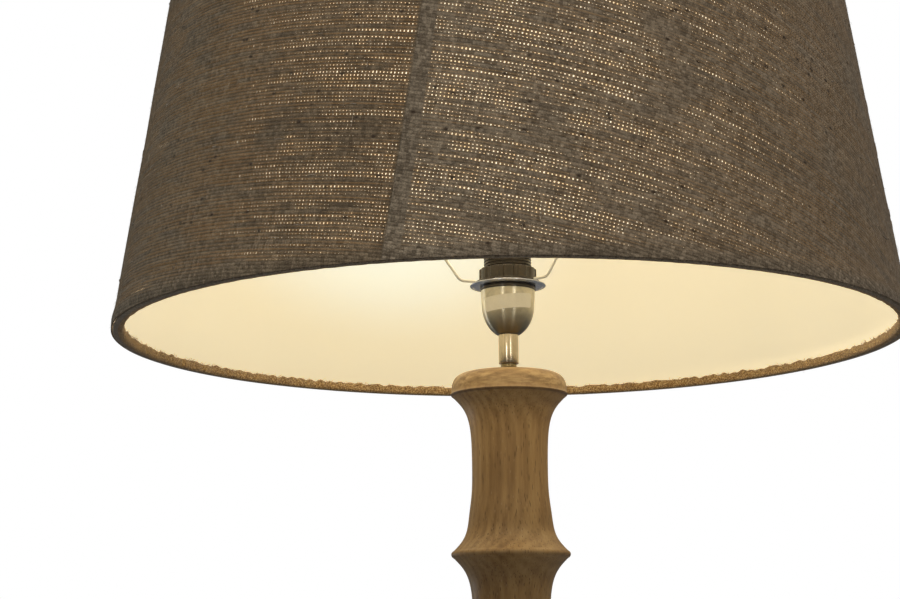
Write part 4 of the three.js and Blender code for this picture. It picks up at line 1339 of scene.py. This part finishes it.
def strands(paths, radii, sides):
    """Points and faces of many fine closed strands. paths: strands x points x 3, radii: strands x points."""
    count, steps, _ = paths.shape
    along = np.gradient(paths, axis=1)
    along /= np.linalg.norm(along, axis=2, keepdims=True)
    side = np.cross(along, np.array([0.31, 0.17, 0.93]))
    side /= np.linalg.norm(side, axis=2, keepdims=True)
    other = np.cross(along, side)
    turn = np.arange(sides) * TURN / sides
    ring = side[:, :, None] * np.cos(turn)[:, None] + other[:, :, None] * np.sin(turn)[:, None]
    points = (paths[:, :, None] + radii[:, :, None, None] * ring).reshape(-1, 3)
    one = grid_faces(steps, sides, wrap_columns=True)
    last = (steps - 1) * sides
    ends = [list(range(sides))[::-1], [last + k for k in range(sides)]]
    faces = []
    for shape in (one, ends):
        block = np.array(shape)[None] + (np.arange(count) * steps * sides)[:, None, None]
        faces += block.reshape(-1, block.shape[-1]).tolist()
    return points, faces


def make_fibres(name, material, count, seed):
    """Loose fibres that stand up from the ragged inner edge of the rim's fold."""
    dice = np.random.RandomState(seed)
    leg_r = reach("shade_rim_hoop") - 5 * MM
    t = np.linspace(0, 1, 4)[None, :]
    azimuth, long, lean, inward, curl, low, thick = (
        dice.uniform(a, b, (count, 1))
        for a, b in ((0, TURN), (1.2, 4.2), (-1.2, 1.2), (-0.1, 0.7), (-0.8, 0.8), (3.5, 7.8), (0.09, 0.18))
    )
    r = leg_r - inward * long * t * MM
    turn = azimuth + (lean * t + curl * t * t) * long * MM / leg_r
    z = RIM_Z + (low + long * t * (1 - 0.25 * t)) * MM
    paths = np.stack([r * np.sin(turn), -r * np.cos(turn), z], axis=2)
    radii = thick * MM * (1.1 - 0.7 * t)
    return make_piece(name, *strands(paths, radii, 4), [material], "shade", "linen")


def make_fuzz(material, count=7000, seed=31):
    """Fine loose fibres that stand off the cover."""
    dice = np.random.RandomState(seed)
    t = np.linspace(0, 1, 3)[None, :]
    azimuth, height, long, lean_a, lean_z, out, curl = (
        dice.uniform(a, b, (count, 1))
        for a, b in (
            (0, TURN), (1 * MM, SHADE_HEIGHT - 1 * MM), (1.0, 3.4), (-1, 1), (-1, 1), (0.25, 0.75), (-1, 1)
        )
    )
    h = height + (lean_z * t + curl * t * t * 0.6) * long * MM
    turn = azimuth + (lean_a * t - curl * t * t * 0.5) * long * MM / RIM_R
    inset = COVER_INSET - ease(height, azimuth) + 0.1 * MM - out * long * t * (1.3 - 0.5 * t) * MM
    paths = np.stack(on_cone(turn, h, inset), axis=2)
    radii = dice.uniform(0.035, 0.07, (count, 1)) * MM * (1.1 - 0.6 * t)
    return make_piece("linen_fuzz", *strands(paths, radii, 3), [material], "shade", "linen")


def make_slubs(material, count=420, seed=37):
    """Thick knots and slubs of yarn that lie on the cover along its threads."""
    dice = np.random.RandomState(seed)
    t = np.linspace(-1, 1, 9)[None, :]
    azimuth = dice.uniform(0, TURN, (count, 1))
    height = dice.uniform(6 * MM, SHADE_HEIGHT - 6 * MM, (count, 1))
    half = np.exp(dice.uniform(math.log(0.8), math.log(7.0), (count, 1))) * MM
    thick = dice.uniform(0.25, 0.55, (count, 1)) * MM * (1.6 * MM / half) ** 0.35
    across = dice.uniform(0, 1, (count, 1)) < 0.55
    drift_share = dice.uniform(-0.12, 0.12, (count, 1))
    wave = dice.uniform(0.0, 0.25, (count, 1)) * MM * np.sin(t * 4 + azimuth * 9)
    levels = [math.radians(PANELS[side][1]) for side in ("right", "left")]
    level = np.where(np.sin(azimuth + 0.2) > 0, *levels)
    slope = np.sin((azimuth - level + math.pi) % TURN - math.pi) * math.sin(SLOPE)
    slope = slope + drift_share
    side = np.where(across, half * t, slope * half * t + wave)
    rise = np.where(across, -slope * half * t + wave, half * t)
    turn = azimuth + side / RIM_R
    inset = COVER_INSET - ease(height, azimuth) - 0.15 * MM
    paths = np.stack(on_cone(turn, height + rise, inset), axis=2)
    radii = thick * np.sqrt(np.clip(1.02 - t * t, 0, 1))
    return make_piece("linen_slubs", *strands(paths, radii, 6), [material], "shade", "linen")


ARM_FIRST_DEG = 78.0  # from +X
ARM_BEND_R = 42 * MM
ARM_WIRE_R = 1.25 * MM


def make_arms(material):
    """Carrier wires: out along the plate, round a bend and up to the top hoop."""
    hoop_z = mid_height("shade_top_hoop")
    hoop_r = reach("shade_top_hoop") - HOOP_WIRE_R
    start_r = reach("carrier_plate") - 3 * MM
    start_z = PLATE_TOP_Z + GAP + ARM_WIRE_R
    rise = np.array([hoop_r - ARM_BEND_R, hoop_z - start_z])
    rise /= np.linalg.norm(rise)
    bend = 4 * MM
    bend_start = np.array([ARM_BEND_R - bend, start_z])
    corner = np.array([ARM_BEND_R, start_z])
    bend_end = corner + bend * rise
    end = np.array([hoop_r, hoop_z]) - rise * (HOOP_WIRE_R + 2 * GAP)
    line = [np.array([start_r, start_z])]
    steps = 16
    for k in range(steps + 1):
        t = k / steps
        line.append(bend_start * (1 - t) ** 2 + corner * 2 * t * (1 - t) + bend_end * t * t)
    for k in range(1, 25):
        line.append(bend_end + (end - bend_end) * k / 24)
    for i in range(3):
        turn = math.radians(ARM_FIRST_DEG + 120 * i)
        path = [(r * math.cos(turn), r * math.sin(turn), z) for r, z in line]
        points, faces = swept(path, ARM_WIRE_R, 20)
        node = f"carrier_arm_{i + 1}"
        make_piece(f"carrier_wire_{i + 1}", points, faces, [material], "shade", "cream_enamel", [node])


# ---------------------------------------------------------------- bulb


def make_globe(material):
    """Opal globe on an open neck, with a wall."""
    neck_low = bottom("bulb_globe")
    wall = 1.2 * MM
    blend = math.radians(-32)

    def line(inset):
        r = GLOBE_R - inset
        end = np.array([r * math.cos(blend), GLOBE_Z + r * math.sin(blend)])
        neck_r = 12.4 * MM - inset
        p0 = np.array([neck_r, neck_low])
        p1 = np.array([neck_r + 0.5 * MM, neck_low + 14 * MM])
        p2 = end + 8 * MM * np.array([math.sin(blend), -math.cos(blend)])
        points = []
        for k in range(25):
            t = k / 24
            s = 1 - t
            points.append(p0 * s**3 + p1 * 3 * s * s * t + p2 * 3 * s * t * t + end * t**3)
        for k in range(1, 41):
            angle = blend + (math.pi / 2 - blend) * k / 40
            across = 0.0 if k == 40 else r * math.cos(angle)
            points.append(np.array([across, GLOBE_Z + r * math.sin(angle)]))
        return [tuple(p) for p in points]

    outline = line(wall)[::-1] + line(0.0)
    globe = turned("opal_globe", outline, material, "bulb", "bulb_glass", ["bulb_globe"], 96)
    globe.visible_shadow = False
    return globe


# ---------------------------------------------------------------- the lamp


def paint(nodes, material):
    """Gives carried-over CAD nodes a finished material."""
    for name in nodes:
        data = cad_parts[name].data
        data.materials.clear()
        data.materials.append(material)


cloth_pieces = bpy.data.collections.new("cloth_pieces")
make_camera()
make_lights(cloth_pieces)
make_world()
make_floor()

column_wood = turned_wood("column_wood", RIDGES, CREASE_Z)
foot_wood = turned_wood("foot_wood", [FOOT_CREASE_Z + 0.6 * MM])
make_column(column_wood)
make_foot(foot_wood)
make_felt(felt())
make_grommet(moulded("black_rubber", (0.02, 0.019, 0.018), (0.04, 0.038, 0.036), 0.6, 0.1 * MM))

antique = brushed(
    "antique_satin", (0.90, 0.82, 0.62), (0.20, 0.18, 0.13), 0.38, low=CUP_Z, high=CUP_Z + 30 * MM
)
collar_brass = brushed("collar_brass", (0.34, 0.28, 0.16), (0.16, 0.13, 0.07), 0.35)
nickel = drawn("nickel_drawn", (0.61, 0.535, 0.41), (0.43, 0.365, 0.27), 0.17)
brown = moulded("brown_phenolic", (0.030, 0.020, 0.010), (0.060, 0.040, 0.020), 0.24)
make_neck(nickel, collar_brass)
make_cup(antique)
make_label(label_paper())
make_skirt(brown)
make_ring_nut(brown)
make_plate(brushed("zinc_plate", (0.62, 0.64, 0.70), (0.28, 0.29, 0.34), 0.20))

cream = moulded("cream_coating", (0.90, 0.86, 0.74), (0.94, 0.91, 0.82), 0.35)
make_arms(cream)
make_hoops(cream)
lining = make_lining(laminate_inside(), laminate_outside())
cloth = linen_fold()
# Painted light: a lamp-lit copy of the linen, for the folds' inner legs and the rim's loose fibres.
lamp_lit_linen = lamp_lit_fold()
rim_hem = make_hem("rim_fold", "rim_hem", True, cloth, lamp_lit_linen)
top_hem = make_hem("top_fold", "top_hem", False, cloth, lamp_lit_linen)
rim_fibres = make_fibres("rim_fibres", lamp_lit_linen, 1900, 21)
for side, (middle, level) in PANELS.items():
    # The left panel gets the stronger painted glow and is painted darker and browner.
    panel = make_panel(side, linen_cover(f"linen_{side}", middle, level, 1.0 if side == "left" else 0.0))
    on_it = [make_warp(side, cloth)]
    if side == "left":
        on_it += [rim_hem, top_hem, rim_fibres, make_fuzz(cloth), make_slubs(cloth)]
    for piece in [panel, *on_it]:
        cloth_pieces.objects.link(piece)

make_globe(opal_glass())
zinc = brushed("zinc_fixings", (0.62, 0.63, 0.66), (0.42, 0.42, 0.44), 0.35)
brass = brushed("contact_brass_metal", (0.72, 0.50, 0.20), (0.48, 0.32, 0.12), 0.28)
paint(["threaded_rod", "base_washer", "base_nut", "cup_nut"], zinc)
paint([f"ballast_screw_{i}" for i in (1, 2, 3)], zinc)
paint(["ballast_plate"], cast_iron())
paint(["lampholder_insert"], moulded("porcelain", (0.74, 0.71, 0.64), (0.82, 0.79, 0.72), 0.45))
paint(["terminal_screw_1", "terminal_screw_2", "centre_contact", "contact_shell", "bulb_contact"], brass)
paint(["bulb_insulator"], moulded("glass_bead", (0.015, 0.015, 0.017), (0.03, 0.03, 0.035), 0.15))
paint(["bulb_cap"], nickel)
